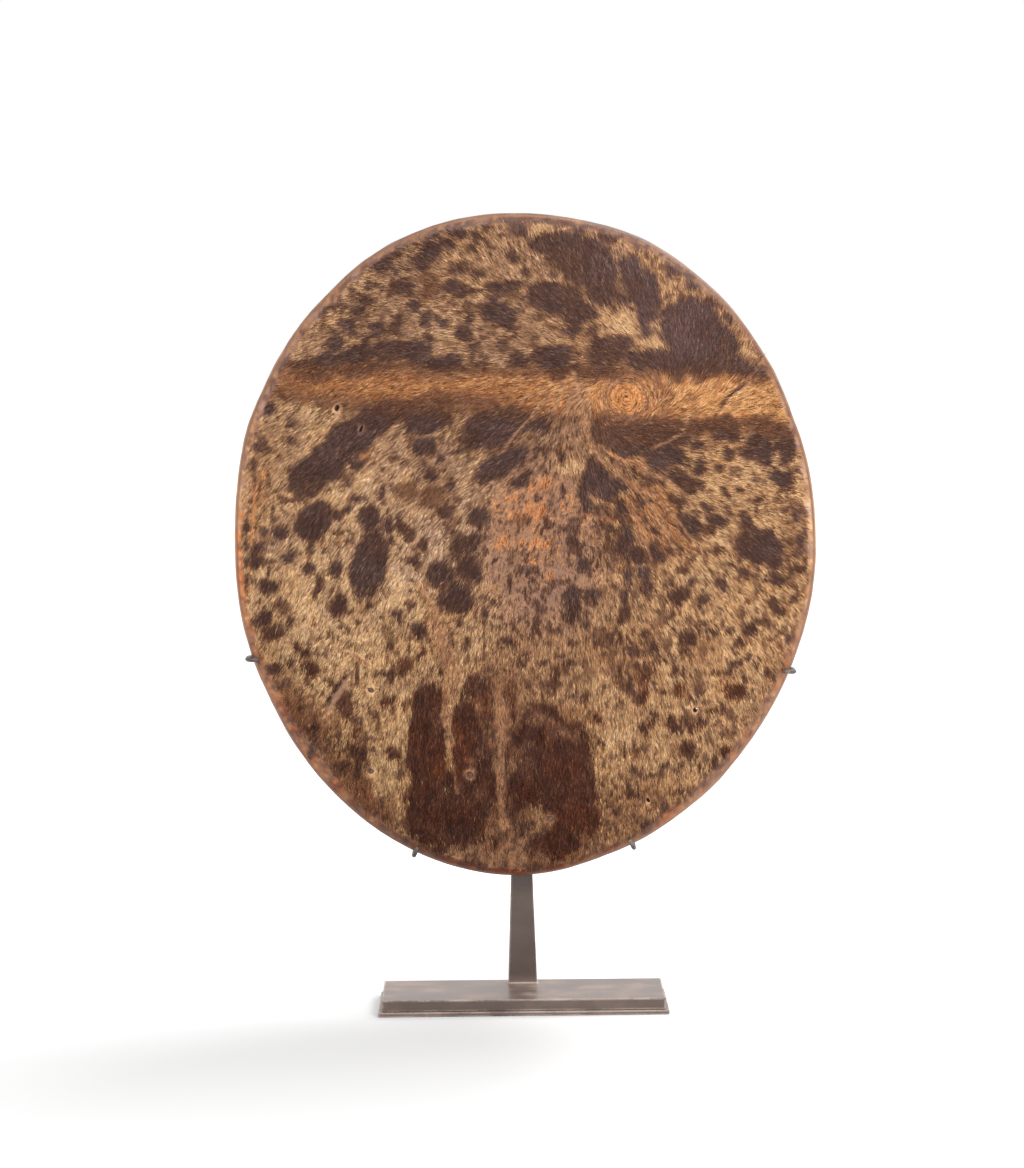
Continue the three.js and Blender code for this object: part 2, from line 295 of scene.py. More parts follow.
class Mark(Enum):
    """A kind of mark on the hide: its tone, warmth and how much of the hair is left on it."""

    # DARK's low warmth gives the upper dark hair its cool grey, partly a painted sheen.
    DARK = (0.15, 0.3, 1.0)
    RED_DARK = (0.25, 0.6, 1.0)
    PINK = (0.48, 0.58, 0.55)
    GREY = (0.38, 0.34, 0.6)
    RUST = (0.56, 0.94, 0.5)
    STRAW = (0.8, 0.45, 1.0)
    PALE = (0.66, 0.42, 0.5)
    SCAR = (0.42, 0.3, 0.15)
    # Near-black pits and scratches, partly painted shade in their grooves and beside the scar.
    PIT = (0.04, 0.4, 0.8)
    RUST_FLECK = (0.58, 0.98, 0.5)
    DARK_FLECK = (0.26, 0.36, 0.42)
    FRINGE = (0.24, 0.7, 1.0)
    WHORL = (0.6, 0.86, 1.0)
    PARTING = (0.27, 0.5, 0.9)
    BACK = (0.5, 0.62, 0.0)


# Blots as ellipses: column, row, half width, half height and turn, all in pixels and degrees
DARK_TOP_LEFT = (
    (432, 252, 10, 9, 0), (420, 260, 8, 6, 0), (424, 266, 6, 5, 0), (434, 235, 4, 6, 0),
    (446, 244, 7, 6, 0), (458, 232, 8, 6, 0), (473, 235, 4, 4, 0), (485, 227, 4, 5, 0),
    (474, 248, 6, 4, -30), (490, 243, 3, 3, 0), (381, 264, 11, 6, 25), (460, 268, 10, 6, -15),
    (479, 271, 6, 4, -15), (513, 257, 7, 5, 0), (518, 230, 11, 9, 0), (403, 288, 11, 6, 0),
    (414, 301, 7, 6, 0), (452, 285, 10, 7, 0), (467, 289, 7, 5, 0), (495, 285, 9, 7, 0),
    (512, 286, 10, 6, 0), (500, 314, 18, 13, -10), (494, 300, 6, 5, 0), (365, 300, 9, 4, -10),
    (358, 311, 8, 6, 0), (450, 303, 4, 2, 0), (349, 325, 7, 7, 0), (354, 334, 5, 4, 0),
    (335, 342, 9, 10, 0), (397, 323, 7, 8, 0), (378, 328, 9, 5, 0), (375, 336, 6, 4, 0),
    (426, 321, 6, 8, 0), (440, 323, 5, 6, 0), (468, 318, 5, 5, 0), (462, 331, 10, 8, 0),
    (472, 347, 6, 6, 0), (472, 359, 3, 3, 0), (480, 364, 6, 2.5, 0), (502, 346, 8, 7, 0),
    (517, 359, 8, 8, 0), (400, 350, 32, 12, 12), (360, 356, 16, 11, 10), (415, 353, 12, 10, 0),
    (445, 363, 15, 7, 5), (423, 364, 16, 7, 0), (454, 359, 8, 6, 0), (325, 362, 25, 8, 10),
    (300, 368, 18, 6, 10),
)
DARK_TOP = (
    (546, 245, 17, 12, -10), (583, 262, 38, 25, -30), (600, 288, 18, 15, -40),
    (609, 238, 10, 8, -20), (578, 230, 7, 4, 0), (630, 266, 10, 11, 0), (640, 287, 22, 19, -45),
    (648, 308, 18, 14, 60), (625, 294, 10, 11, 0), (646, 330, 6, 9, 0), (556, 300, 31, 17, -15),
    (578, 314, 17, 12, 0), (571, 330, 9, 6, 0), (591, 332, 4, 3, 0), (525, 272, 6, 5, 0),
    (638, 246, 4, 3, 0), (671, 272, 6, 6, 0), (520, 362, 10, 7, 5), (552, 357, 22, 11, 5),
    (561, 368, 14, 7, 0), (610, 349, 23, 13, 15), (603, 362, 17, 8, 0), (632, 357, 17, 7, -5),
    (690, 327, 30, 28, -15), (709, 346, 30, 25, -20), (690, 362, 60, 14, -2),
    (736, 366, 20, 10, -20), (652, 362, 24, 10, 0), (765, 376, 12, 8, 0), (690, 283, 8, 6, -40),
    (712, 302, 7, 5, -40), (730, 318, 7, 6, -50),
)
DARK_RIGHT = (
    (644, 436, 48, 13, 0), (667, 457, 22, 10, 0), (633, 448, 20, 10, 0), (685, 481, 20, 8, -25),
    (727, 434, 14, 9, 0), (728, 454, 6, 6, 0), (701, 466, 8, 8, 0), (721, 469, 5, 4, 0),
    (698, 445, 8, 6, 0), (759, 449, 17, 15, 0), (786, 448, 8, 15, 0), (780, 477, 11, 9, 0),
    (759, 500, 5, 4, 0), (788, 488, 4, 4, 0), (730, 512, 3, 5, 0), (707, 508, 7, 4, -20),
    (690, 526, 14, 11, -50), (718, 521, 10, 6, -20), (748, 524, 12, 7, -60),
    (760, 546, 24, 16, -15), (797, 517, 5, 6, 0), (595, 475, 13, 18, 0), (610, 488, 9, 12, 0),
    (583, 492, 7, 9, 0), (586, 504, 5, 8, 0), (601, 436, 8, 8, 0), (627, 544, 9, 18, 0),
    (658, 554, 9, 9, 0), (624, 508, 6, 10, 0), (621, 483, 9, 6, -30), (775, 565, 7, 6, 0),
    (800, 540, 5, 8, 0),
)
DARK_MIDDLE = (
    (426, 421, 25, 12, 10), (426, 447, 12, 9, 0), (494, 428, 38, 19, 20), (460, 451, 6, 4, 20),
    (500, 466, 29, 12, 28), (539, 425, 12, 9, 20), (430, 473, 5, 8, 0), (450, 486, 5, 9, 0),
    (445, 511, 8, 6, 0), (479, 517, 9, 10, 0), (447, 528, 3, 6, 0), (466, 544, 16, 10, 30),
    (421, 549, 4, 4, 0), (469, 569, 13, 14, 0), (441, 575, 15, 13, 0), (416, 564, 5, 5, 0),
    (596, 429, 8, 8, 0), (582, 564, 6, 4, 0), (570, 594, 8, 7, 0), (591, 594, 5, 5, 0),
    (403, 463, 4, 4, 0), (572, 599, 8, 13, 0), (570, 614, 5, 8, 0), (455, 598, 18, 15, 0),
    (520, 480, 12, 5, 25),
)
DARK_LEFT = (
    (316, 470, 36, 19, 38), (350, 440, 38, 19, 35), (375, 420, 34, 14, 25), (395, 410, 24, 8, 10),
    (314, 521, 21, 17, 65), (279, 534, 8, 7, 0), (263, 531, 4, 3, 0), (370, 565, 36, 18, 80),
    (369, 519, 10, 14, 0), (356, 463, 10, 9, 0), (388, 525, 6, 5, 0), (383, 495, 4, 10, 0),
    (351, 511, 4, 4, 0), (357, 499, 4, 4, 0), (339, 516, 6, 5, 30), (345, 482, 3, 6, 0),
    (309, 547, 3, 6, 0), (289, 557, 7, 5, 20), (308, 569, 6, 7, 0), (336, 569, 8, 7, 0),
    (316, 587, 13, 4, 70), (337, 607, 8, 12, 0), (257, 546, 12, 5, 15), (253, 562, 8, 8, 0),
    (268, 585, 8, 8, 0), (262, 618, 13, 6, 35), (273, 631, 11, 8, 0), (259, 450, 6, 4, 0),
    (254, 464, 5, 4, 0), (286, 441, 6, 3, 30), (278, 604, 2.5, 2.5, 0), (371, 605, 4, 4, 0),
    (398, 614, 5, 6, 0), (268, 409, 8, 6, 30), (290, 424, 5, 3, 30), (345, 705, 7, 13, 20),
)
DARK_LOWER_LEFT = (
    (290, 624, 4, 4, 0), (414, 608, 6, 3, 20), (419, 631, 8, 7, 0), (330, 637, 2.5, 5, 0),
    (295, 646, 5, 6, 0), (307, 654, 6, 5, 0), (274, 669, 7, 7, 0), (290, 664, 5, 5, 0),
    (312, 670, 10, 7, 0), (331, 683, 3, 3, 0), (391, 669, 3, 8, 0), (404, 665, 5, 9, 0),
    (389, 645, 2.5, 5, 0), (353, 646, 2.5, 2.5, 0), (387, 703, 10, 6, 20), (414, 708, 8, 8, 0),
    (312, 732, 7, 6, 0), (357, 732, 4, 5, 0), (345, 766, 5, 5, 0), (357, 753, 6, 10, 0),
    (392, 753, 5, 6, 0),
)
DARK_LOWER_RIGHT = (
    (680, 596, 10, 9, 0), (694, 582, 4, 4, 0), (721, 588, 5, 4, 0), (701, 602, 6, 5, 0),
    (745, 574, 6, 5, 0), (689, 637, 10, 9, 20), (711, 631, 4, 4, 0), (684, 652, 5, 5, 0),
    (749, 630, 8, 7, 50), (741, 644, 5, 5, 0), (655, 648, 6, 5, 0), (647, 633, 3, 3, 0),
    (676, 670, 5, 5, 0), (644, 675, 10, 6, 40), (637, 666, 4, 4, 0), (558, 670, 8, 5, 55),
    (616, 683, 3, 3, 0), (679, 690, 7, 7, 0), (644, 696, 6, 11, 0), (661, 691, 3, 3, 0),
    (735, 691, 9, 7, 20), (745, 679, 4, 4, 0), (583, 700, 3, 6, 0), (724, 708, 5, 4, 0),
    (712, 711, 3, 3, 0), (596, 718, 5, 5, 0), (672, 722, 8, 8, 0), (700, 728, 6, 4, 0),
    (656, 721, 4, 4, 0), (647, 728, 4, 7, 0), (624, 753, 4, 4, 0), (637, 753, 4, 4, 0),
    (686, 751, 8, 8, 0), (727, 753, 9, 7, 0), (624, 596, 5, 11, 0), (629, 576, 6, 11, 0),
    (645, 573, 5, 7, 0), (638, 556, 7, 7, 0), (656, 555, 5, 7, 0), (627, 612, 5, 7, 0),
    (647, 588, 5, 6, 0), (583, 562, 6, 4, 0),
)
DARK_BOTTOM = (
    (425, 745, 20, 56, 0), (428, 810, 23, 38, 0), (455, 818, 32, 30, 0), (468, 733, 16, 32, 0),
    (462, 780, 17, 24, 0), (440, 700, 8, 12, 0), (488, 760, 4, 18, 0), (484, 785, 12, 30, 0),
    (476, 690, 12, 13, 0), (425, 700, 14, 18, 0), (545, 728, 25, 23, 0), (545, 772, 30, 32, 0),
    (568, 768, 27, 42, 0), (574, 745, 18, 24, 0), (570, 806, 25, 32, 0), (522, 786, 10, 22, 0),
    (558, 842, 24, 14, 0), (584, 792, 12, 30, 0), (511, 752, 5, 10, 0), (500, 812, 6, 8, 0),
    (492, 846, 5, 7, 0), (532, 850, 6, 13, 0), (490, 700, 3, 20, 0), (512, 712, 3, 24, 0),
    (440, 850, 12, 6, 20), (592, 822, 7, 15, 0), (521, 736, 7, 12, 0), (516, 800, 5, 14, 0),
)
DARK_BLOTS = (
    *DARK_TOP_LEFT, *DARK_TOP, *DARK_RIGHT, *DARK_MIDDLE, *DARK_LEFT, *DARK_LOWER_LEFT,
    *DARK_LOWER_RIGHT, *DARK_BOTTOM,
)
RED_DARK_SPOTS = (
    (429, 285, 11, 14, 0), (428, 497, 13, 11, 20), (407, 494, 10, 8, 0), (345, 704, 9, 14, 20),
    (337, 723, 4, 7, 0), (340, 372, 50, 6, 4), (430, 402, 60, 6, 4), (690, 424, 60, 6, 3),
    (775, 429, 26, 7, -8), (575, 372, 26, 5, 2), (640, 440, 34, 8, 0), (605, 436, 10, 8, 0),
)
PINK_SPOTS = (
    (623, 289, 6, 6, 0), (668, 576, 4, 8, 0), (607, 666, 7, 6, 0), (703, 659, 8, 7, 0),
    (652, 624, 3, 8, 0), (337, 645, 7, 4, 0), (360, 660, 15, 3, -15), (507, 856, 32, 8, 0),
    (504, 830, 9, 9, 0), (567, 737, 10, 5, 0), (515, 772, 5, 5, 0), (494, 589, 5, 8, 0),
    (446, 592, 3, 5, 0), (445, 347, 8, 4, 0), (297, 467, 2, 4, -30), (535, 812, 9, 8, 0),
    (432, 724, 3, 5, 0), (478, 703, 4, 6, 0), (455, 738, 2.5, 8, 0), (586, 533, 9, 10, 0),
    (546, 721, 11, 5, 0), (523, 760, 4, 7, 0), (487, 830, 4, 9, 0), (476, 795, 3, 5, 0),
    (470, 760, 5, 4, 0),
)
GREY_SPOTS = (
    (486, 349, 11, 10, 0), (577, 402, 7, 26, 0), (499, 776, 7, 8, 0), (447, 527, 6, 9, 0),
    (478, 560, 6, 8, 0), (505, 348, 10, 4, 10), (560, 560, 14, 20, 0), (512, 560, 10, 18, 0),
    (538, 717, 15, 8, 0), (562, 731, 14, 7, 10), (530, 745, 8, 7, 0), (496, 764, 6, 12, 0),
)
RUST_SPOTS = (
    (536, 510, 13, 11, 0), (545, 486, 11, 6, 0), (513, 498, 5, 4, 0), (530, 486, 3, 5, 0),
    (502, 543, 7, 8, 0), (541, 545, 9, 6, 0), (532, 563, 5, 4, 0), (548, 575, 3, 3, 0),
    (262, 474, 4, 4, 0), (261, 493, 2, 6, -20), (364, 453, 6, 3, 20), (341, 539, 3, 2, 0),
    (314, 621, 2.5, 9, -10), (609, 631, 3, 4, 0), (603, 519, 7, 2, -8), (520, 520, 4, 4, 0),
    (585, 515, 5, 4, 0),
)
STRAW_SPOTS = (
    (569, 469, 14, 7, 0), (403, 484, 8, 9, 0), (480, 470, 6, 12, 30), (345, 492, 16, 6, 45),
    (300, 590, 16, 22, 30), (395, 590, 9, 18, 0), (420, 610, 8, 12, 0), (402, 730, 8, 30, 0),
    (385, 775, 14, 22, 0), (620, 740, 14, 24, 0), (365, 640, 22, 8, 0), (540, 228, 12, 4, 0),
    (668, 250, 9, 12, -40), (650, 345, 9, 8, 0), (620, 325, 22, 9, -30),
)

# Strokes as corners: column, row and half width in pixels
PINK_STROKES = (
    (
        (419, 583, 2), (431, 608, 4.5), (442, 640, 7), (453, 680, 9.5), (447, 704, 4.5),
        (448, 750, 3.4), (458, 793, 1.5),
    ),
    ((497, 680, 2.5), (502, 715, 4.5), (500, 748, 3.6), (500, 790, 4), (504, 828, 5)),
    ((690, 417, 0.8), (683, 433, 1.2), (668, 443, 1.4), (655, 448, 1)),
    ((588, 436, 1.5), (606, 463, 2.4), (624, 479, 3), (640, 492, 2.6), (655, 497, 1.4)),
    (
        (600, 446, 1), (610, 455, 1.8), (627, 460, 2.4), (652, 472, 2.2), (676, 486, 2),
        (692, 500, 1.2),
    ),
    ((570, 372, 1), (535, 410, 1.4), (502, 451, 1)),
    ((572, 374, 2), (580, 412, 5), (590, 440, 4), (606, 470, 2)),
    ((628, 500, 1), (640, 530, 1.8), (652, 560, 1)),
    ((645, 500, 1.2), (662, 525, 2.2), (678, 552, 1.4)),
    ((660, 503, 1), (678, 520, 2), (697, 545, 1.4)), ((346, 652, 2), (360, 660, 4), (374, 668, 2)),
)
GREY_STROKES = (
    ((568, 376, 0.8), (556, 402, 1.4), (545, 425, 0.8)),
    ((574, 376, 0.8), (566, 408, 1.6), (562, 440, 0.8)),
    ((586, 380, 0.8), (588, 408, 1.4), (592, 436, 0.8)), ((555, 380, 0.6), (520, 402, 0.9)),
    ((548, 398, 0.6), (515, 436, 0.9)),
    ((262, 672, 1), (282, 708, 2), (305, 738, 1.4), (330, 770, 1)),
    ((552, 480, 1.2), (556, 520, 1.6), (552, 560, 1)), ((610, 560, 0.8), (612, 615, 1)),
)
RUST_STROKES = (
    ((606, 453, 0.8), (625, 459, 1.1), (645, 468, 0.8)), ((250, 560, 1), (247, 600, 1.4)),
    ((256, 482, 1), (253, 520, 1.3), (251, 548, 1)),
)
SCAR_STROKES = (
    ((350, 673, 1.4), (339, 692, 3.4), (325, 715, 1.6)),
)
PALE_STROKES = (
    ((751, 385, 0.6), (737, 394, 0.8), (725, 409, 0.6)), ((495, 385, 0.5), (450, 372, 0.6)),
)
# Dark pits and scratches; the second runs along the scar's left side as its painted shadow, and all
# are near-black partly as painted shade.
PIT_AND_SHADE_STROKES = (
    ((313, 742, 1), (311, 751, 2.4), (309, 757, 1.6)),
    ((346, 675, 0.9), (334, 691, 1.4), (323, 708, 0.9)),
    ((748, 383, 0.9), (734, 391, 1.4), (721, 407, 0.9)),
)

# Rings of worn skin round the holes and thongs: column, row, radius and strength
WORN_RINGS = (
    (337, 408, 5, 0.3), (361, 429, 4, 0.2), (692, 710, 6, 0.4), (648, 800, 4, 0.3),
    (371, 690, 5, 0.4), (371, 771, 5, 0.4), (470, 775, 7, 0.5), (550, 819, 6, 0.4),
)

# Broad changes of the coat: column, row, half sizes, turn, tone, warmth, hair left and strength
WASHES = (
    (543, 552, 62, 94, 0, 0.36, 0.38, 0.1, 0.95), (526, 526, 34, 44, 0, 0.385, 0.56, 0.08, 0.85),
    (470, 250, 70, 36, 0, 0.56, 0.46, 1.0, 0.4), (572, 408, 19, 42, 0, 0.44, 0.46, 0.4, 0.85),
    (660, 520, 30, 46, 40, 0.46, 0.78, 0.8, 0.7), (500, 750, 34, 90, 0, 0.36, 0.62, 0.75, 0.95),
    (512, 812, 20, 40, 0, 0.34, 0.6, 0.8, 0.9), (506, 850, 50, 18, 0, 0.38, 0.58, 0.4, 0.95),
    (485, 345, 32, 13, 8, 0.5, 0.42, 0.8, 0.5), (540, 655, 36, 44, 0, 0.5, 0.5, 0.8, 0.5),
    (440, 636, 18, 50, -10, 0.5, 0.7, 0.8, 0.35), (258, 490, 14, 70, 0, 0.46, 0.62, 0.7, 0.5),
    (620, 655, 44, 22, -10, 0.42, 0.66, 0.85, 0.5), (700, 650, 20, 16, 0, 0.46, 0.74, 0.9, 0.4),
    (560, 715, 30, 14, 0, 0.34, 0.76, 0.9, 0.5), (425, 445, 60, 60, 20, 0.4, 0.46, 1.0, 0.3),
    (700, 430, 90, 20, 5, 0.3, 0.62, 1.0, 0.35), (560, 330, 60, 40, 0, 0.34, 0.55, 1.0, 0.3),
    (300, 724, 26, 56, 32, 0.34, 0.68, 0.9, 0.85), (352, 796, 26, 54, 48, 0.33, 0.7, 0.9, 0.9),
    (262, 640, 14, 40, 15, 0.46, 0.7, 0.95, 0.3), (775, 690, 16, 60, -25, 0.46, 0.62, 0.95, 0.5),
)

# The coat's plain look: column, row, tone, warmth and the share of dark specks
COAT_LOOKS = (
    (330, 300, 0.56, 0.36, 0.48), (420, 240, 0.55, 0.38, 0.4), (500, 250, 0.57, 0.38, 0.32),
    (600, 235, 0.6, 0.41, 0.26), (700, 270, 0.56, 0.46, 0.36), (760, 350, 0.54, 0.5, 0.38),
    (300, 420, 0.65, 0.38, 0.2), (260, 480, 0.6, 0.45, 0.3), (300, 560, 0.7, 0.38, 0.16),
    (420, 480, 0.67, 0.3, 0.28), (450, 520, 0.64, 0.3, 0.22), (350, 650, 0.72, 0.44, 0.24),
    (300, 640, 0.75, 0.46, 0.18), (420, 640, 0.68, 0.44, 0.24), (380, 740, 0.7, 0.5, 0.2),
    (340, 760, 0.62, 0.52, 0.36), (540, 640, 0.62, 0.44, 0.36), (600, 640, 0.64, 0.5, 0.38),
    (640, 600, 0.62, 0.48, 0.45), (700, 600, 0.68, 0.52, 0.38), (760, 600, 0.66, 0.55, 0.42),
    (650, 660, 0.62, 0.48, 0.48), (700, 690, 0.68, 0.52, 0.4), (750, 690, 0.68, 0.54, 0.34),
    (640, 740, 0.68, 0.56, 0.26), (620, 800, 0.5, 0.56, 0.42), (700, 740, 0.66, 0.54, 0.38),
    (750, 480, 0.68, 0.54, 0.28), (790, 560, 0.6, 0.55, 0.42), (560, 450, 0.46, 0.46, 0.36),
    (640, 510, 0.58, 0.56, 0.34), (500, 330, 0.6, 0.36, 0.3), (640, 330, 0.62, 0.46, 0.2),
)

# The stripe along the back: column, row of its middle, half width and tone
STRIPE = (
    (270, 377, 11, 0.47), (300, 381, 13, 0.49), (400, 388, 15, 0.52), (520, 391, 17, 0.54),
    (620, 397, 21, 0.57), (720, 398, 20, 0.62), (790, 403, 19, 0.66), (815, 406, 18, 0.64),
)

# The bare rim by bearing in degrees: the band's width in metres, tone and warmth
RIM_LOOKS = (
    (-180, 0.008, 0.58, 0.86), (-165, 0.009, 0.48, 0.76), (-150, 0.011, 0.42, 0.72),
    (-130, 0.013, 0.4, 0.7), (-110, 0.009, 0.28, 0.76), (-90, 0.008, 0.26, 0.8),
    (-70, 0.009, 0.32, 0.74), (-50, 0.011, 0.38, 0.66), (-35, 0.012, 0.42, 0.6),
    (-10, 0.008, 0.46, 0.58), (5, 0.009, 0.64, 0.36), (20, 0.008, 0.52, 0.42),
    (40, 0.006, 0.42, 0.5), (60, 0.008, 0.34, 0.46), (90, 0.009, 0.3, 0.46),
    (120, 0.009, 0.32, 0.42), (150, 0.009, 0.42, 0.34), (165, 0.008, 0.54, 0.5),
    (180, 0.008, 0.58, 0.86),
)

# Which way the hair lies: column, row and the tips' direction in degrees from the right, upwards
HAIR_LIES = (
    (500, 230, 122), (480, 260, 132), (440, 245, 145), (410, 275, 168), (340, 310, 178),
    (380, 315, 182), (460, 320, 172), (520, 330, 168), (545, 250, 110), (590, 260, 104),
    (630, 290, 108), (560, 305, 135), (620, 330, 148), (610, 350, 160), (680, 270, 92),
    (700, 330, 88), (745, 345, 74), (690, 360, 95), (290, 365, 200), (350, 358, 200),
    (420, 360, 192), (500, 365, 188), (300, 385, 212), (400, 388, 200), (500, 392, 195),
    (570, 395, 190), (290, 420, 218), (350, 440, 222), (280, 470, 228), (250, 500, 238),
    (255, 580, 244), (330, 540, 236), (300, 620, 244), (330, 700, 250), (400, 430, 220),
    (450, 440, 225), (420, 520, 236), (400, 600, 250), (480, 470, 222), (520, 450, 215),
    (470, 560, 246), (430, 680, 262), (380, 760, 262), (450, 780, 268), (520, 760, 270),
    (540, 520, 250), (560, 600, 268), (565, 430, 258), (590, 450, 285), (600, 480, 275),
    (600, 560, 272), (640, 480, 325), (640, 520, 300), (640, 580, 288), (620, 440, 340),
    (680, 450, 345), (740, 440, 355), (740, 480, 350), (790, 480, 348), (720, 510, 338),
    (700, 540, 318), (740, 560, 316), (780, 560, 325), (700, 600, 304), (750, 620, 302),
    (660, 620, 292), (700, 680, 292), (640, 700, 276), (600, 700, 270), (660, 760, 276),
    (600, 800, 270), (720, 730, 284), (680, 400, 20), (740, 400, 10), (790, 405, 0),
    (640, 375, 150),
)


@dataclass
class Coat:
    """What the hide shows at a set of places, one value a place in each array."""

    tone: Array
    warmth: Array
    cover: Array

    def paint(self, mask: Array, look: tuple[float, float, float]) -> None:
        """Draw the coat towards a look where the mask is up.

        Args:
            mask: Strengths from 0 to 1.
            look: The look's tone, warmth and share of hair.
        """
        tone, warmth, cover = look
        self.tone += (tone - self.tone) * mask
        self.warmth += (warmth - self.warmth) * mask
        self.cover += (cover - self.cover) * mask


@dataclass(frozen=True)
class Markings:
    """The coat's pattern: blots, strokes, stripe, whorl, worn places and specks.

    Its sizes are in pixels of the picture, but the rim's, which are in metres.
    """

    form: HideForm
    view: PictureView
    whorl: tuple[float, float] = (626, 399)
    whorl_radius: float = 17
    wander: float = 3.4
    wander_size: float = 13
    ripple: float = 2.0
    ripple_size: float = 5
    streak: float = 6.5
    streaky_rows: tuple[float, float] = (540, 660)
    reddish_rows: tuple[float, float] = (560, 720)
    look_reach: float = 55
    cloud: float = 0.1
    cloud_size: float = 24
    flush: float = 0.12
    flush_size: float = 36
    speck_sizes: tuple[tuple[float, float, float], ...] = (
        (2.4, 0.7, 70),
        (4.4, 0.9, 20),
        (8.5, 0.75, 45),
    )
    rust_middle: tuple[float, float] = (532, 528)
    rust_reach: tuple[float, float] = (70, 30)
    stripe_warmth: float = 0.75
    fringe_height: float = 20
    rings_near: tuple[tuple[float, float], ...] = ((0.5, 0.9), (3.4, 0.6))
    rings_within: tuple[float, ...] = (4, 8, 12)
    rings_upper_right: tuple[float, ...] = (9, 13, 17, 21, 26)
    rim_stray: float = 0.003
    rim_edge: float = 0.0014
    broad: ValueNoise = ValueNoise(11)
    fine: ValueNoise = ValueNoise(12)
    patchy: ValueNoise = ValueNoise(13)

    def outside(self, rows: tuple, at: Pixels) -> Array:
        """Return about how many pixels places lie outside the nearest blot, negative inside."""
        column, row = at
        nearest = np.full(column.shape, 99.0)
        for x, y, wide, high, turn in rows:
            right, down = column - x, row - y
            cos, sin = math.cos(math.radians(turn)), math.sin(math.radians(turn))
            along, across = (right * cos - down * sin) / wide, (right * sin + down * cos) / high
            away = (np.sqrt(along**2 + across**2) - 1) * min(wide, high)
            nearest = np.minimum(nearest, away)
        return nearest

    def beside(self, strokes: tuple, at: Pixels) -> Array:
        """Return how many pixels places lie outside the nearest stroke, negative inside."""
        column, row = at
        nearest = np.full(column.shape, 99.0)
        for corners in strokes:
            for (x0, y0, half0), (x1, y1, half1) in zip(corners, corners[1:]):
                run, fall = x1 - x0, y1 - y0
                share = ((column - x0) * run + (row - y0) * fall) / (run**2 + fall**2)
                share = np.clip(share, 0, 1)
                away = np.hypot(column - x0 - share * run, row - y0 - share * fall)
                nearest = np.minimum(nearest, away - half0 - share * (half1 - half0))
        return nearest

    def plain(self, at: Pixels) -> tuple[Array, Array, Array]:
        """Return the tone, warmth and share of specks of the coat between its marks."""
        column, row = at
        weights = np.zeros(column.shape)
        sums = [np.zeros(column.shape) for _ in range(3)]
        for x, y, *look in COAT_LOOKS:
            weight = np.exp(-((column - x) ** 2 + (row - y) ** 2) / self.look_reach**2) + 1e-5
            weights += weight
            for total, value in zip(sums, look):
                total += weight * value
        return tuple(total / weights for total in sums)

    def strayed(self, at: Pixels) -> Pixels:
        """Return pixels moved by noise, for marks with uneven edges, streaky ones low down."""
        column, row = at
        moved = []
        for along, beside, offset in ((column, row, 0), (row, column, 40)):
            size = self.wander_size
            wander = self.wander * self.broad.at(along / size + offset, beside / size)
            size = self.ripple_size
            ripple = self.ripple * self.fine.at(along / size + offset, beside / size)
            moved.append(along + wander + ripple)
        streaks = ease(row, *self.streaky_rows) * self.streak
        return moved[0] + streaks * self.fine.rough(column / 3.6 + 8, row / 20), moved[1]

    def read(self, x: Array, z: Array, grain: Array) -> Coat:
        """Return what the front of the hide shows.

        Args:
            x: The places' x.
            z: The places' z.
            grain: How far each place's marks stray, in pixels, which makes edges ragged.

        Returns:
            The tone, the warmth and the share of hair at each place.
        """
        true = self.view.pixels(self.form.on_front(x, z))
        column, row = true
        moved = self.strayed(true)
        tone, warmth, specks = self.plain(true)
        coat = Coat(tone, warmth, np.ones(column.shape))
        size = self.cloud_size
        coat.tone += self.cloud * self.broad.rough(column / size + 9, row / size)
        size = self.flush_size
        coat.warmth += self.flush * self.broad.rough(column / size + 60, row / size)
        for *blot, tone, warmth, cover, strength in WASHES:
            away = self.outside((blot,), moved) / min(blot[2:4]) + grain * 0.04
            coat.paint(ease(away, 0.4, -0.5) * strength, (tone, warmth, cover))
        self.paint_specks(coat, true, specks)
        self.paint_blots(coat, STRAW_SPOTS, Mark.STRAW, 0.6, moved, grain)
        self.paint_darks(coat, moved, grain)
        self.paint_stripe(coat, (column, moved[1]), grain)
        self.paint_blots(coat, RED_DARK_SPOTS, Mark.RED_DARK, 0.8, moved, grain)
        broken = 0.7 + 0.3 * self.fine.at(column / 2.4 + 20, row / 3.2)
        spots = (
            (GREY_SPOTS, Mark.GREY, 0.6),
            (PINK_SPOTS, Mark.PINK, 0.75),
            (RUST_SPOTS, Mark.RUST, 0.85),
        )
        for rows, mark, strength in spots:
            self.paint_blots(coat, rows, mark, strength * broken, moved, grain * 1.4, 3.5)
        self.paint_strokes(coat, true, moved, grain)
        self.paint_whorl(coat, true)
        for x0, y0, radius, strength in WORN_RINGS:
            away = np.hypot(column - x0, row - y0) + grain * 0.3
            coat.paint(ease(away, radius + 1.5, radius - 1.5) * strength, Mark.PALE.value)
        self.paint_rim(coat, x, z, grain)
        # The flake's pit is laid again on top, its near-black partly painted shade.
        pit = self.beside(PIT_AND_SHADE_STROKES[:1], true) + grain * 0.2
        coat.paint(ease(pit, 1.0, -0.8), Mark.PIT.value)
        return coat

    def paint_blots(
        self, coat: Coat, rows: tuple, mark: Mark, strength: Array | float,
        at: Pixels, grain: Array, edge: float = 4.0,
    ) -> None:
        """Lay soft-edged blots of one kind.

        Args:
            coat: The coat to paint.
            rows: The blots.
            mark: Their look.
            strength: How strongly they show.
            at: The places.
            grain: How far each place strays.
            edge: How far out the blots' edges begin.
        """
        away = self.outside(rows, at) + grain
        coat.paint(ease(away, edge, -3) * strength, mark.value)

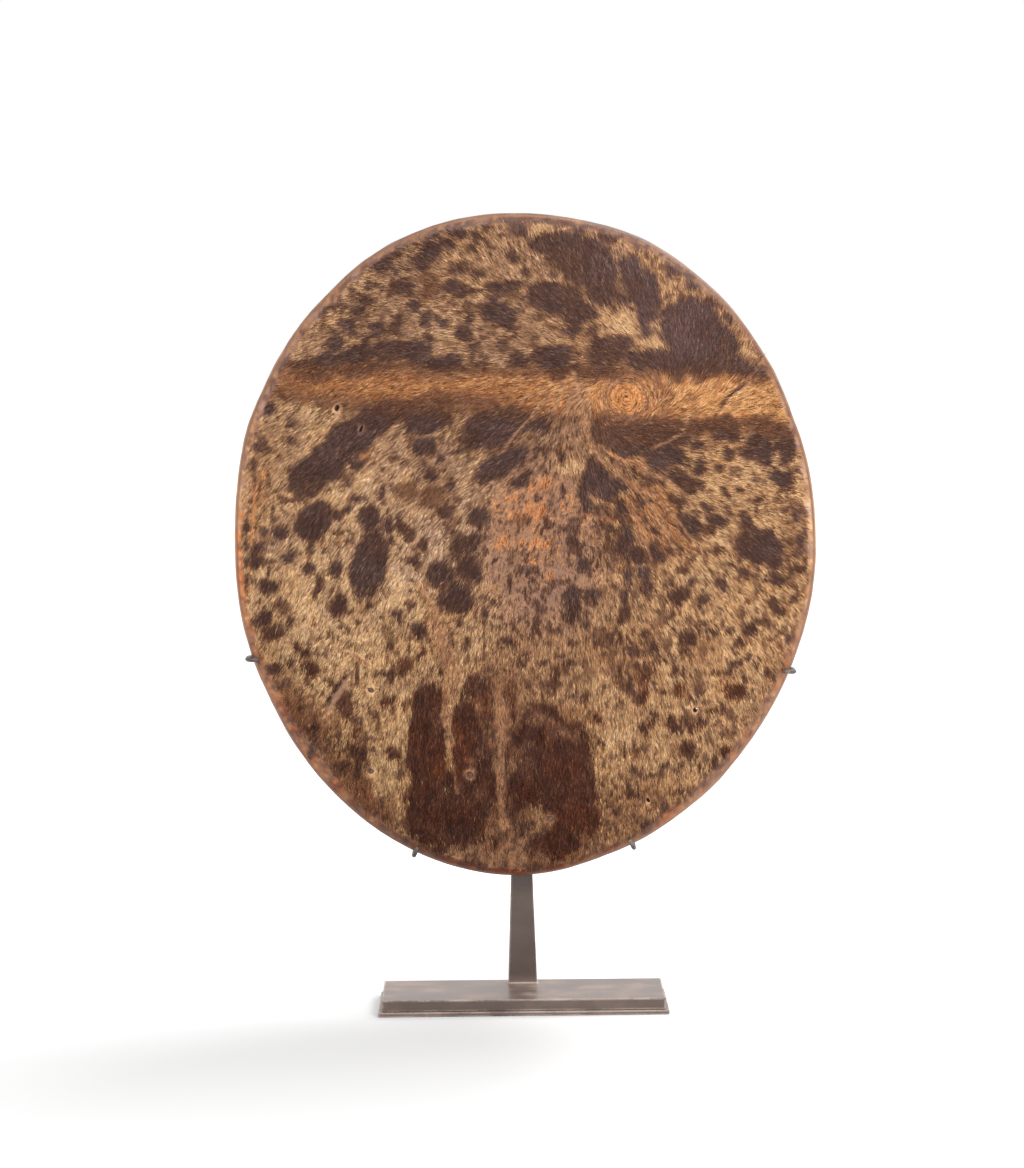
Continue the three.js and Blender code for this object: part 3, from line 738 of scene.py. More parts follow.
    def paint_strokes(self, coat: Coat, true: Pixels, moved: Pixels, grain: Array) -> None:
        """Lay the folds, creases, scars and pits, the pits' near-black partly painted shade. The
        scars, pits and pale lines are the straightest.
        """
        layers = (
            (GREY_STROKES, Mark.GREY, 0.8),
            (PINK_STROKES, Mark.PINK, 0.8),
            (RUST_STROKES, Mark.RUST, 0.9),
            (PALE_STROKES, Mark.PALE, 0.8),
            (SCAR_STROKES, Mark.SCAR, 0.95),
            (PIT_AND_SHADE_STROKES, Mark.PIT, 0.95),
        )
        halfway = tuple((first + second) / 2 for first, second in zip(true, moved))
        for rows, mark, strength in layers:
            at = true if mark in (Mark.SCAR, Mark.PIT, Mark.PALE) else halfway
            away = self.beside(rows, at) + grain * 0.3
            coat.paint(ease(away, 1.2, -1.0) * strength, mark.value)

    def paint_specks(self, coat: Coat, at: Pixels, share: Array) -> None:
        """Strew the coat with dark specks of several sizes, and worn places with rust flecks."""
        column, row = at
        clumped = 1 + 0.5 * self.broad.at(column / 30 + 11, row / 30 + 3)
        tone, _, cover = Mark.DARK.value
        for size, weight, offset in self.speck_sizes:
            blotch = self.fine.at(column / size + offset, row / (size * 1.2) + offset)
            limit = 0.7 - share * weight * 0.95 * clumped
            depth = 0.66 + 0.3 * self.patchy.at(column / 17 + offset, row / 17)
            reddish = 0.5 + 0.22 * self.patchy.at(column / 12 + 33, row / 12 + offset)
            mask = ease(blotch, limit, limit + 0.16) * depth
            coat.paint(mask, (tone + 0.02, reddish, cover))
        bare = 1 - ease(coat.cover, 0.5, 0.8)
        flecks = self.fine.at(column / 2.2 + 5, row / 3.0 + 9)
        flecks = flecks + 0.5 * self.patchy.at(column / 14 + 50, row / 14)
        from_middle = np.hypot(column - self.rust_middle[0], row - self.rust_middle[1])
        around = 0.15 + 0.85 * ease(from_middle, *self.rust_reach)
        coat.paint(ease(flecks, 0.52, 0.74) * bare * around, Mark.RUST_FLECK.value)
        coat.paint(ease(-flecks, 0.5, 0.85) * bare * 0.55, Mark.DARK_FLECK.value)

    def paint_darks(self, coat: Coat, at: Pixels, grain: Array) -> None:
        """Lay the dark patches, each with a thinner red-brown edge. They are cool grey above,
        partly a painted sheen, and red-brown low down.
        """
        column, row = at
        low_down = ease(row, *self.reddish_rows)
        away = self.outside(DARK_BLOTS, at) + grain * (1.5 + low_down)
        tone, warmth, cover = Mark.DARK.value
        redder = 0.12 * self.patchy.at(column / 22 + 15, row / 22)
        # The dark hair of the upper right is painted lighter and cooler: a painted sheen.
        painted_sheen = ease(column, 540, 680) * ease(row, 380, 330)
        mottle = low_down * 0.16 * self.fine.rough(column / 5 + 12, row / 13 + 4)
        edge_warmth = 0.55 + 0.15 * low_down + redder
        coat.paint(ease(away, 4, -1) * 0.5, (0.34, edge_warmth, cover))
        dark_tone = tone - 0.03 * low_down + 0.4 * np.abs(redder) + mottle + 0.05 * painted_sheen
        dark_warmth = warmth + 0.46 * low_down + redder - 0.08 * painted_sheen
        coat.paint(ease(away, 1.8, -2.0) * 0.95, (dark_tone, dark_warmth, cover))

    def paint_stripe(self, coat: Coat, at: Pixels, grain: Array) -> None:
        """Lay the warm stripe that runs along the back, with a ragged dark fringe below it."""
        column, row = at
        places, middles, halves, tones = (np.array(values) for values in zip(*STRIPE))
        half = np.interp(column, places, halves)
        from_middle = row - np.interp(column, places, middles)
        from_middle = from_middle + grain * 1.8 + 2.5 * self.fine.at(column / 7 + 90, row / 20)
        below = ease(from_middle, half + self.fringe_height, half + 4)
        fringe = below * ease(from_middle, -half - 11, -half - 3)
        coat.paint(fringe * 0.66, Mark.FRINGE.value)
        fade = ease(column, 250, 330) * 0.35 + 0.65
        mask = ease(np.abs(from_middle) - half, 5, -8) * fade
        tone = 0.09 * self.fine.at(column / 6, row / 4) + np.interp(column, places, tones)
        coat.paint(mask, (tone, self.stripe_warmth, coat.cover))

    def paint_whorl(self, coat: Coat, at: Pixels) -> None:
        """Lay the whorl: a warm disc within rings where the hair parts."""
        column, row = at
        right, down = column - self.whorl[0], row - self.whorl[1]
        away = np.hypot(right * 0.94, down) + 1.8 * self.fine.at(column / 8, row / 8)
        outside = away - self.whorl_radius
        parting = Mark.PARTING.value
        coat.paint(ease(outside, 0, -2) * 0.75, Mark.WHORL.value)
        uneven = 0.68 + 0.3 * self.fine.at(column / 8, row / 8 + 7)
        for ring, width in self.rings_near:
            line = np.abs(outside - ring) - width
            coat.paint(ease(line, 0.9, -0.5) * uneven, parting)
        for ring in self.rings_within:
            coat.paint(ease(np.abs(away - ring) - 0.3, 0.9, -0.4) * 0.1, parting)
        upper_right = 0.75 * ease(right - down, 8, 34)
        for ring in self.rings_upper_right:
            coat.paint(ease(np.abs(outside - ring) - 0.6, 1.0, -0.5) * upper_right, parting)

    def paint_rim(self, coat: Coat, x: Array, z: Array, grain: Array) -> None:
        """Lay the bare band along the rim with a painted highlight along its outer edge, and take
        the hair off it.
        """
        bearing, inset = self.form.polar(x, z)
        degrees = np.degrees(bearing)
        places, widths, tones, warmths = (np.array(values) for values in zip(*RIM_LOOKS))
        band = np.interp(degrees, places, widths) + grain * 0.0007
        band = band + self.rim_stray * self.patchy.rough(bearing * 26, inset * 40)
        mottle = self.fine.rough(bearing * 60 + 200, inset * 190)
        folds = np.abs(self.broad.rough(bearing * 20 + 130, inset * 420 + bearing * 9))
        tone = np.interp(degrees, places, tones) + 0.24 * mottle - 0.08 * ease(folds, 0.14, 0.02)
        # A thin line just inside the outer edge is painted paler, a painted highlight; further in
        # the band is darker.
        tone = tone + 0.12 * ease(inset, 0.0022, 0.0006) - 0.08 * ease(inset, 0.004, 0.009)
        redness = 0.42 * self.patchy.rough(bearing * 34 + 80, inset * 90)
        warmth = np.interp(degrees, places, warmths) + redness
        mask = ease(inset - band, self.rim_edge, -self.rim_edge)
        coat.paint(mask, (tone, warmth, 0.0))


@dataclass(frozen=True)
class HairFlow:
    """Which way the hair lies over the hide. Its sizes are in pixels of the picture."""

    markings: Markings
    reach: float = 42
    stray: float = 0.22
    stray_size: float = 9
    circling_turn: float = math.radians(100)
    circling_reach: tuple[float, float] = (46, 18)
    drift: ValueNoise = ValueNoise(21)

    def directions(self, at: Pixels) -> Array:
        """Return the tips' directions.

        Args:
            at: The roots' pixels.

        Returns:
            Angles from +X towards +Z, in radians.
        """
        column, row = at
        right, up = np.zeros(column.shape), np.zeros(column.shape)
        for x, y, degrees in HAIR_LIES:
            weight = np.exp(-((column - x) ** 2 + (row - y) ** 2) / self.reach**2) + 1e-6
            right += weight * math.cos(math.radians(degrees))
            up += weight * math.sin(math.radians(degrees))
        angle = np.arctan2(up, right)
        angle += self.stray * self.drift.rough(column / self.stray_size, row / self.stray_size)
        out, down = column - self.markings.whorl[0], row - self.markings.whorl[1]
        circling = np.arctan2(-down, out) + self.circling_turn
        mask = ease(np.hypot(out, down), *self.circling_reach)
        right = np.cos(angle) * (1 - mask) + np.cos(circling) * mask
        up = np.sin(angle) * (1 - mask) + np.sin(circling) * mask
        return np.arctan2(up, right)


# Material nodes


class Signal:
    """A number in a material. Arithmetic on it adds Math nodes."""

    def __init__(self, bench: "Bench", socket: NodeSocket) -> None:
        """Wrap a socket of the bench's material."""
        self.bench = bench
        self.socket = socket

    def _with(self, operation: str, first: "Signal | float", second: "Signal | float") -> "Signal":
        """Return the result of one Math node."""
        node = self.bench.add("ShaderNodeMath", {"operation": operation}, {0: first, 1: second})
        return Signal(self.bench, node.outputs[0])

    def __add__(self, other: "Signal | float") -> "Signal":
        """Return the sum."""
        return self._with("ADD", self, other)

    def __radd__(self, other: float) -> "Signal":
        """Return the sum."""
        return self._with("ADD", other, self)

    def __sub__(self, other: "Signal | float") -> "Signal":
        """Return the difference."""
        return self._with("SUBTRACT", self, other)

    def __rsub__(self, other: float) -> "Signal":
        """Return the difference."""
        return self._with("SUBTRACT", other, self)

    def __mul__(self, other: "Signal | float") -> "Signal":
        """Return the product."""
        return self._with("MULTIPLY", self, other)

    def __rmul__(self, other: float) -> "Signal":
        """Return the product."""
        return self._with("MULTIPLY", other, self)

    def between(self, low: float, high: float) -> "Signal":
        """Return 0 up to low, 1 from high and a smooth rise between."""
        node = self.bench.add(
            "ShaderNodeMapRange",
            {"interpolation_type": "SMOOTHSTEP"},
            {"Value": self, "From Min": low, "From Max": high},
        )
        return Signal(self.bench, node.outputs[0])


def linear(red: int, green: int, blue: int) -> tuple[float, float, float, float]:
    """Return a colour given from 0 to 255 as the linear one that sockets hold."""
    def channel(value: int) -> float:
        """Return one channel made linear."""
        share = value / 255
        return share / 12.92 if share <= 0.04045 else ((share + 0.055) / 1.055) ** 2.4
    return channel(red), channel(green), channel(blue), 1.0


class Bench:
    """Lays out the nodes of one material."""

    def __init__(self, name: str) -> None:
        """Start an empty material.

        Args:
            name: The material's name.
        """
        self.material = bpy.data.materials.new(name)
        self.material.use_nodes = True
        self.tree = self.material.node_tree
        self.tree.nodes.clear()

    def add(
        self, kind: str, settings: dict | None = None, inputs: dict | None = None
    ) -> Node:
        """Add one node.

        Args:
            kind: The node's type.
            settings: Its properties, and "stops" for a ramp, set before its sockets.
            inputs: Values, sockets or signals for its input sockets, by name or number.

        Returns:
            The node.
        """
        node = self.tree.nodes.new(kind)
        for name, value in (settings or {}).items():
            if name == "stops":
                self._set_stops(node.color_ramp, value)
            else:
                setattr(node, name, value)
        for name, value in (inputs or {}).items():
            if isinstance(value, Signal):
                value = value.socket
            if isinstance(value, NodeSocket):
                self.tree.links.new(value, node.inputs[name])
            else:
                node.inputs[name].default_value = value
        return node

    def _set_stops(self, ramp: ColorRamp, stops: tuple) -> None:
        """Give a ramp its stops, each a place and a colour."""
        while len(ramp.elements) < len(stops):
            ramp.elements.new(0.5)
        for element, (place, colour) in zip(ramp.elements, stops):
            element.position = place
            element.color = colour

    def value(self, name: str) -> Signal:
        """Return a number attribute of the mesh."""
        node = self.add("ShaderNodeAttribute", {"attribute_name": name})
        return Signal(self, node.outputs["Fac"])

    def noise(self, scale: float, detail: float = 3, stretch: tuple = (1, 1, 1)) -> Signal:
        """Return noise over Object coordinates.

        Args:
            scale: Cells a metre.
            detail: How many finer sizes are added.
            stretch: How much denser the noise is along each axis.

        Returns:
            The noise, from 0 to 1.
        """
        place = self.add("ShaderNodeTexCoord").outputs["Object"]
        placed = self.add("ShaderNodeMapping", None, {"Vector": place, "Scale": stretch}).outputs[0]
        inputs = {"Vector": placed, "Scale": scale, "Detail": detail}
        return Signal(self, self.add("ShaderNodeTexNoise", None, inputs).outputs[0])

    def mix(self, factor: Signal, first: object, second: object) -> NodeSocket:
        """Return one colour drawn towards another."""
        node = self.add("ShaderNodeMix", {"data_type": "RGBA"}, {0: factor, 6: first, 7: second})
        return node.outputs[2]

    def finish(
        self, colour: object, settings: dict, height: Signal | None = None, lift: float = 0.0
    ) -> Material:
        """Close the material with its shader.

        Args:
            colour: The base colour or its socket.
            settings: Other inputs of the shader.
            height: What a bump follows, if there is one.
            lift: The bump's height in metres.

        Returns:
            The material.
        """
        inputs = {"Base Color": colour, **settings}
        if height is not None:
            bump = {"Height": height, "Distance": lift, "Strength": 1.0}
            inputs["Normal"] = self.add("ShaderNodeBump", None, bump).outputs[0]
        shader = self.add("ShaderNodeBsdfPrincipled", None, inputs)
        self.add("ShaderNodeOutputMaterial", None, {"Surface": shader.outputs[0]})
        return self.material


@dataclass(frozen=True)
class Palette:
    """The hide's colours from dark to pale: cool, plain and warm."""

    places: tuple[float, ...] = (0.0, 0.25, 0.5, 0.75, 1.0)
    cool: tuple[tuple[int, int, int], ...] = (
        (50, 37, 38), (92, 69, 66), (146, 114, 104), (196, 166, 146), (238, 222, 208),
    )
    plain: tuple[tuple[int, int, int], ...] = (
        (48, 31, 27), (92, 60, 45), (152, 110, 77), (208, 166, 118), (244, 214, 166),
    )
    warm: tuple[tuple[int, int, int], ...] = (
        (56, 24, 14), (104, 50, 27), (168, 99, 52), (218, 153, 84), (248, 202, 134),
    )

    def ramp(self, bench: Bench, tone: Signal, colours: tuple) -> NodeSocket:
        """Return one row of colours read at a tone."""
        stops = tuple((place, linear(*colour)) for place, colour in zip(self.places, colours))
        return bench.add("ShaderNodeValToRGB", {"stops": stops}, {0: tone}).outputs[0]

    def read(self, bench: Bench, tone: Signal, warmth: Signal) -> NodeSocket:
        """Return the colour at a tone and a warmth, both from 0 to 1."""
        rows = (self.cool, self.plain, self.warm)
        cool, plain, warm = (self.ramp(bench, tone, row) for row in rows)
        first = bench.mix((warmth * 2).between(0, 1), cool, plain)
        return bench.mix((warmth * 2 - 1).between(0, 1), first, warm)


@dataclass(frozen=True)
class HairFinish:
    """Dry short hair, whose colour each strand takes from its place on its own map."""

    map_name: str = "OFBake"
    roughness: float = 0.6
    shine: float = 0.15

    def build(self, palette: Palette) -> Material:
        """Return the hair's material."""
        bench = Bench("hair")
        place = bench.add("ShaderNodeUVMap", {"uv_map": self.map_name}).outputs[0]
        split = bench.add("ShaderNodeSeparateXYZ", None, {0: place})
        tone, warmth = (Signal(bench, split.outputs[index]) for index in (0, 1))
        colour = palette.read(bench, tone, warmth)
        return bench.finish(colour, {"Roughness": self.roughness, "Specular IOR Level": self.shine})


@dataclass(frozen=True)
class HideFinish:
    """Rawhide with the stubble of its coat, from the mesh's own tone and warmth."""

    roughness: float = 0.58
    shine: float = 0.3

    def build(self, palette: Palette) -> Material:
        """Return the hide's material."""
        bench = Bench("rawhide")
        bare = 1 - bench.value("cover")
        fleck = bench.noise(420, 4)
        grain = bench.noise(1100, 3)
        cloud = bench.noise(70, 3)
        rough_hair = 1 - bare * 0.5
        uneven = (fleck + grain - 1) * 0.3 * rough_hair
        tone = bench.value("tone") + uneven + (cloud - 0.5) * 0.12
        warmth = bench.value("warmth") + (bench.noise(160, 3) - 0.5) * 0.5 * bare
        colour = palette.read(bench, tone, warmth)
        roughness = self.roughness - bare * 0.12 + (fleck - 0.5) * 0.2
        settings = {"Roughness": roughness, "Specular IOR Level": self.shine}
        return bench.finish(colour, settings, fleck * 0.6 + grain * 0.4, 0.0006)


@dataclass(frozen=True)
class SteelFinish:
    """Brown patinated steel with pale smears and a painted sheen on faces that face up, lighter
    where its edges are rubbed.
    """

    name: str = "patinated_steel"
    dark: tuple[int, int, int] = (74, 60, 54)
    light: tuple[int, int, int] = (84, 69, 63)
    smear_and_sheen: tuple[int, int, int] = (172, 150, 138)
    rubbed: tuple[int, int, int] = (186, 170, 158)
    smear_and_sheen_strength: float = 1.0

    def build(self) -> Material:
        """Return the steel's material."""
        bench = Bench(self.name)
        cloud = bench.noise(28, 5, (1, 1.6, 2))
        fine = bench.noise(900, 3)
        streak = bench.noise(42, 6, (0.8, 1.2, 1.2))
        blend = (cloud + (fine - 0.5) * 0.3).between(0.2, 0.8)
        base = bench.mix(blend, linear(*self.dark), linear(*self.light))
        # Faces that face up are painted paler: partly smears and partly a painted reflection of the
        # bright room.
        up = bench.value("top")
        smear_and_sheen = (streak.between(0.42, 0.7) * 0.75 + 0.25) * up * self.smear_and_sheen_strength
        smeared_and_sheened = bench.mix(smear_and_sheen * 0.46, base, linear(*self.smear_and_sheen))
        worn = bench.value("edge") * (fine * 0.5 + cloud * 0.7).between(0.42, 0.75)
        colour = bench.mix(worn * 0.65, smeared_and_sheened, linear(*self.rubbed))
        roughness = 0.42 - up * 0.16 + smear_and_sheen * 0.2 + (fine - 0.5) * 0.14
        settings = {"Roughness": roughness, "Metallic": 0.1, "Specular IOR Level": 0.5}
        return bench.finish(colour, settings, fine, 0.00006)


@dataclass(frozen=True)
class ThongFinish:
    """Dark dry rawhide, cut across its fibres."""

    dark: tuple[int, int, int] = (40, 30, 27)
    light: tuple[int, int, int] = (118, 92, 76)
    roughness: float = 0.65
    shine: float = 0.2

    def build(self) -> Material:
        """Return the thongs' material."""
        bench = Bench("thong_rawhide")
        fibre = bench.noise(1500, 3)
        cloud = bench.noise(500, 3)
        blend = (fibre * 0.6 + cloud * 0.5).between(0.36, 0.74)
        colour = bench.mix(blend, linear(*self.dark), linear(*self.light))
        settings = {"Roughness": self.roughness, "Specular IOR Level": self.shine}
        return bench.finish(colour, settings, fibre, 0.0003)


@dataclass(frozen=True)
class FloorFinish:
    """Plain pale studio paper with a painted shadow: greyer in a patch front left of the foot,
    where the shield's shadow falls.
    """

    # The painted shadow's grey, the paper's own pale beyond it, the patch's middle and where it
    # starts and ends fading.
    near: float = 0.55
    far: float = 0.95
    middle: tuple[float, float, float] = (-0.3, -0.22, 0.0)
    painted_shadow_radius: float = 0.26
    painted_shadow_fade: float = 0.62

    def build(self) -> Material:
        """Return the floor's material."""
        bench = Bench("studio_paper")
        place = bench.add("ShaderNodeTexCoord").outputs["Object"]
        ends = {0: place, 1: self.middle}
        measure = bench.add("ShaderNodeVectorMath", {"operation": "DISTANCE"}, ends)
        away = Signal(bench, measure.outputs[1])
        pale, paler = ((level, level, level, 1) for level in (self.near, self.far))
        colour = bench.mix(away.between(self.painted_shadow_radius, self.painted_shadow_fade), pale, paler)
        return bench.finish(colour, {"Roughness": 0.9, "Specular IOR Level": 0.1})


# Mesh helpers


def in_scene(name: str, data: ID) -> Object:
    """Return a new object that holds data, linked to the scene."""
    made = bpy.data.objects.new(name, data)
    bpy.context.scene.collection.objects.link(made)
    return made


def make_piece(
    name: str, mesh: Mesh, material: Material
) -> Object:
    """Return a finished piece that rides on the object's one body.

    Args:
        name: The piece's name.
        mesh: Its mesh, with its place in its vertices.
        material: Its finish.

    Returns:
        The piece.
    """
    mesh.materials.clear()
    mesh.materials.append(material)
    piece = in_scene(name, mesh)
    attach(piece, BODY)
    LOG.info("%s: %d vertices, %d faces", name, len(mesh.vertices), len(mesh.polygons))
    return piece


def mesh_from(work: BMesh, name: str, smooth: bool = True) -> Mesh:
    """Return a bmesh's shape as a mesh, and free the bmesh."""
    mesh = bpy.data.meshes.new(name)
    work.to_mesh(mesh)
    work.free()
    mesh.shade_smooth() if smooth else mesh.shade_flat()
    return mesh


def places_of(mesh: Mesh) -> Array:
    """Return a mesh's vertices as rows of x, y and z."""
    flat = np.empty(len(mesh.vertices) * 3)
    mesh.vertices.foreach_get("co", flat)
    return flat.reshape(-1, 3)


def put_places(mesh: Mesh, places: Array) -> None:
    """Move a mesh's vertices."""
    mesh.vertices.foreach_set("co", places.ravel())
    mesh.update()


def put_values(mesh: Mesh, name: str, values: Array) -> None:
    """Keep one number a vertex on a mesh, for its material."""
    layer = mesh.attributes.new(name, "FLOAT", "POINT")
    layer.data.foreach_set("value", np.asarray(values, dtype=np.float32))


def put_wear(
    mesh: Mesh, edge: Array | float, top: Array | float
) -> None:
    """Keep how far a steel mesh's vertices are rubbed, and how far they take pale smears and
    painted sheen.
    """
    for name, values in (("edge", edge), ("top", top)):
        put_values(mesh, name, np.zeros(len(mesh.vertices)) + values)


def box(size: tuple[float, float, float], middle: tuple[float, float, float]) -> BMesh:
    """Return a box of a size about its middle."""
    work = bmesh.new()
    bmesh.ops.create_cube(work, size=1)
    bmesh.ops.scale(work, vec=size, verts=work.verts)
    bmesh.ops.translate(work, vec=middle, verts=work.verts)
    return work


def soften(work: BMesh, edges: list, offset: float, segments: int) -> None:
    """Round edges off."""
    bmesh.ops.bevel(
        work, geom=edges, offset=offset, affect="EDGES", segments=segments, profile=0.5,
        material=-1,
    )


def cut_loop(work: BMesh, place: Vector, normal: Vector) -> None:
    """Cut a loop of edges where a plane meets a shape."""
    geometry = work.verts[:] + work.edges[:] + work.faces[:]
    bmesh.ops.bisect_plane(work, geom=geometry, plane_co=place, plane_no=normal)


def evaluated_mesh(source: Object) -> Mesh:
    """Return a new mesh of what an object shows with its modifiers."""
    bpy.context.view_layer.update()
    shown = source.evaluated_get(bpy.context.evaluated_depsgraph_get())
    return bpy.data.meshes.new_from_object(shown)


def spun(section: list[tuple[float, float]], steps: int) -> BMesh:
    """Return a section spun about the Y axis.

    Args:
        section: Distances from the axis and y of the section's points, ending on the axis.
        steps: How many steps the turn takes.

    Returns:
        A closed shape with its faces pointing out.
    """
    work = bmesh.new()
    corners = [work.verts.new((radius, y, 0)) for radius, y in section]
    edges = [work.edges.new(pair) for pair in zip(corners, corners[1:])]
    bmesh.ops.spin(
        work, geom=corners + edges, cent=(0, 0, 0), axis=(0, 1, 0), angle=FULL_TURN,
        steps=steps, use_merge=True,
    )
    bmesh.ops.remove_doubles(work, verts=work.verts, dist=1e-6)
    bmesh.ops.recalc_face_normals(work, faces=work.faces)
    return work


# The shield


@dataclass(frozen=True)
class Hole:
    """A hole worked through the hide: its place, half sizes in metres and turn in degrees."""

    across: float
    up: float
    half_wide: float
    half_high: float
    turn: float

    def spin(self) -> Matrix:
        """Return the hole's turn about its own axis."""
        return Matrix.Rotation(math.radians(self.turn), 4, "Y")

    def away(self, x: Array, z: Array, wider: float = 0.0) -> Array:
        """Return places' distances from the middle, as shares of the half sizes made wider."""
        wide, high = self.half_wide + wider, self.half_high + wider
        return np.hypot((x - self.across) / wide, (z - self.up) / high)


OPEN_HOLES = (
    Hole(-0.1546, 0.5217, 0.0022, 0.0029, 20), Hole(-0.134, 0.5038, 0.0013, 0.0035, 25),
    Hole(0.1502, 0.2585, 0.002, 0.0022, 0), Hole(0.1096, 0.1793, 0.0014, 0.0027, -30),
)
THONG_HOLES = {
    "thong_stub_1": Hole(-0.1285, 0.2794, 0.003, 0.0021, 15),
    "thong_stub_2": Hole(-0.13, 0.2072, 0.0028, 0.0022, -10),
    "thong_stub_3": Hole(-0.0443, 0.2048, 0.0027, 0.0026, 40),
    "thong_stub_4": Hole(0.0245, 0.1644, 0.003, 0.0022, 5),
}


ALL_HOLES = (*OPEN_HOLES, *THONG_HOLES.values())


@dataclass
class HidePiece:
    """The rawhide itself: one domed sheet with its rim turned back and its holes cut."""

    form: HideForm
    markings: Markings
    around: int = 520
    front_rings: int = 140
    lip_steps: int = 9
    edge_steps: int = 4
    round_steps: int = 8
    back_rings: int = 12
    swell: float = 0.0007
    pucker: float = 0.0009
    fold_height: float = 0.0006
    scar_depth: float = 0.0009
    ring_height: float = 0.0007
    whorl_height: float = 0.0004
    hole_steps: int = 20
    hole_reach: float = 0.0062
    hole_flare: float = 1.9
    narrowing: tuple[tuple[float, float], ...] = (
        (1.0, 0.0), (0.95, 0.0005), (0.46, 0.0034), (0.12, 0.0062),
    )
    lean: float = 1.5
    # Near-black of the open holes' walls: painted shade inside the holes.
    hole_shade_tone: float = 0.02
    hole_skin: float = 0.0003
    lumps: ValueNoise = ValueNoise(31)
    wrinkles: ValueNoise = ValueNoise(32)

    def section(self) -> list[tuple[float, float]]:
        """Return the half section from the front's middle, round the lip, to the back's."""
        form = self.form
        reach, plain, bend = form.mean_reach, form.plain_reach, form.lip_radius
        points = []
        for ring in range(self.front_rings + 1):
            share = ring / self.front_rings
            points.append((share * plain, float(form.dome(np.array(share)))))
        angles = np.linspace(form.lip_slope, math.pi / 2, self.lip_steps + 1)
        centre_y = bend * math.cos(form.lip_slope)
        centre = reach - bend
        for angle in angles[1:]:
            points.append((centre + bend * math.sin(angle), centre_y - bend * math.cos(angle)))
        half = form.thickness / 2
        end = form.turned_back - half
        for y in np.linspace(centre_y, end, self.edge_steps + 1)[1:]:
            points.append((reach, y))
        for angle in np.linspace(0, math.pi, self.round_steps + 1)[1:-1]:
            points.append((reach - half + half * math.cos(angle), end + half * math.sin(angle)))
        for y in np.linspace(end, centre_y, self.edge_steps + 1):
            points.append((reach - form.thickness, y))
        inner = bend - form.thickness
        for angle in angles[::-1][1:]:
            points.append((centre + inner * math.sin(angle), centre_y - inner * math.cos(angle)))
        steepness = form.dome_depth * form.dome_power / plain
        for ring in range(self.back_rings - 1, -1, -1):
            share = ring / self.back_rings
            slope = math.atan(steepness * share ** (form.dome_power - 1))
            radius = share * plain - form.thickness * math.sin(slope)
            y = float(form.dome(np.array(share))) + form.thickness * math.cos(slope)
            points.append((max(radius, 0), y))
        return points

    def warp(self, mesh: Mesh) -> None:
        """Carry the round spun shape onto the hide's real outline, and give it its relief."""
        form = self.form
        places = places_of(mesh)
        radius = np.hypot(places[:, 0], places[:, 2])
        bearing = np.arctan2(places[:, 2], places[:, 0])
        share = radius / form.plain_reach
        in_front = places[:, 1] < form.dome(share) + form.thickness / 2
        far = form.spread(radius, bearing)
        turned = ease(places[:, 1], 0.0, form.turned_back)
        folds = self.wrinkles.rough(bearing * 19 + 60, places[:, 1] * 60, 3)
        far = far - self.pucker * turned * (0.5 + 0.5 * folds)
        across, up = far * np.cos(bearing), far * np.sin(bearing)
        x, z = form.hub[0] + across, form.hub[2] + up
        y = form.hub[1] + places[:, 1] + form.shift(across, up, share)
        y = y + self.pucker * turned * self.wrinkles.rough(bearing * 24, places[:, 1] * 10 + 5, 3)
        fade = ease(share, 1.0, 0.93)
        y = y - in_front * fade * self.relief(x, z)
        y = y - ~in_front * fade * self.swell * self.lumps.rough(x * 45 + 70, z * 45 + 70)
        put_places(mesh, np.stack([x, y, z], axis=1))

    def relief(self, x: Array, z: Array) -> Array:
        """Return how far the front's skin stands out at places of it."""
        marks = self.markings
        at = marks.view.pixels(self.form.on_front(x, z))
        column, row = at
        height = self.swell * self.lumps.rough(x * 40, z * 40)
        folds = np.clip(marks.beside(PINK_STROKES + GREY_STROKES, at) + 1, 0, None)
        height += self.fold_height * np.exp(-(folds**2) / 3)
        scars = np.clip(marks.beside(SCAR_STROKES + PIT_AND_SHADE_STROKES, at) + 1, 0, None)
        height -= self.scar_depth * np.exp(-(scars**2) / 2)
        for x0, y0, ring, _ in WORN_RINGS:
            away = np.hypot(column - x0, row - y0) - ring * 0.75
            height += self.ring_height * np.exp(-(away**2) / 3)
        right, down = column - marks.whorl[0], row - marks.whorl[1]
        away = np.hypot(right, down) - marks.whorl_radius
        height += self.whorl_height * np.cos(away * 1.1) * np.exp(-(away**2) / 60)
        return height

    def hole_tool(self, hole: Hole) -> Mesh:
        """Return the shape that cuts one hole. An open one narrows and leans to one side."""
        end = self.hole_reach
        front, profile, lean = 1.0, ((1.0, end),), Matrix.Identity(4)
        if hole in OPEN_HOLES:
            front, profile = self.hole_flare, self.narrowing
            lean[0][1] = self.lean * hole.half_wide / self.form.thickness
        tool = spun([(0, -end), (front, -end), *profile, (0, end)], self.hole_steps)
        shape = lean @ Matrix.Diagonal((hole.half_wide, 1, hole.half_high, 1))
        place = self.form.onto(hole.across, hole.up) @ hole.spin() @ shape
        bmesh.ops.transform(tool, matrix=place, verts=tool.verts)
        return mesh_from(tool, "hole_tool")

    def cut_holes(self, piece: Object) -> None:
        """Cut the holes through the hide with one boolean, and keep its result."""
        work = bmesh.new()
        for hole in ALL_HOLES:
            made = self.hole_tool(hole)
            work.from_mesh(made)
            bpy.data.meshes.remove(made)
        cutter = in_scene("hole_cutter", mesh_from(work, "hole_cutter"))
        cut = piece.modifiers.new("holes", "BOOLEAN")
        cut.operation = "DIFFERENCE"
        cut.solver = "EXACT"
        cut.object = cutter
        result = evaluated_mesh(piece)
        piece.modifiers.remove(cut)
        piece.data = result
        bpy.data.objects.remove(cutter)

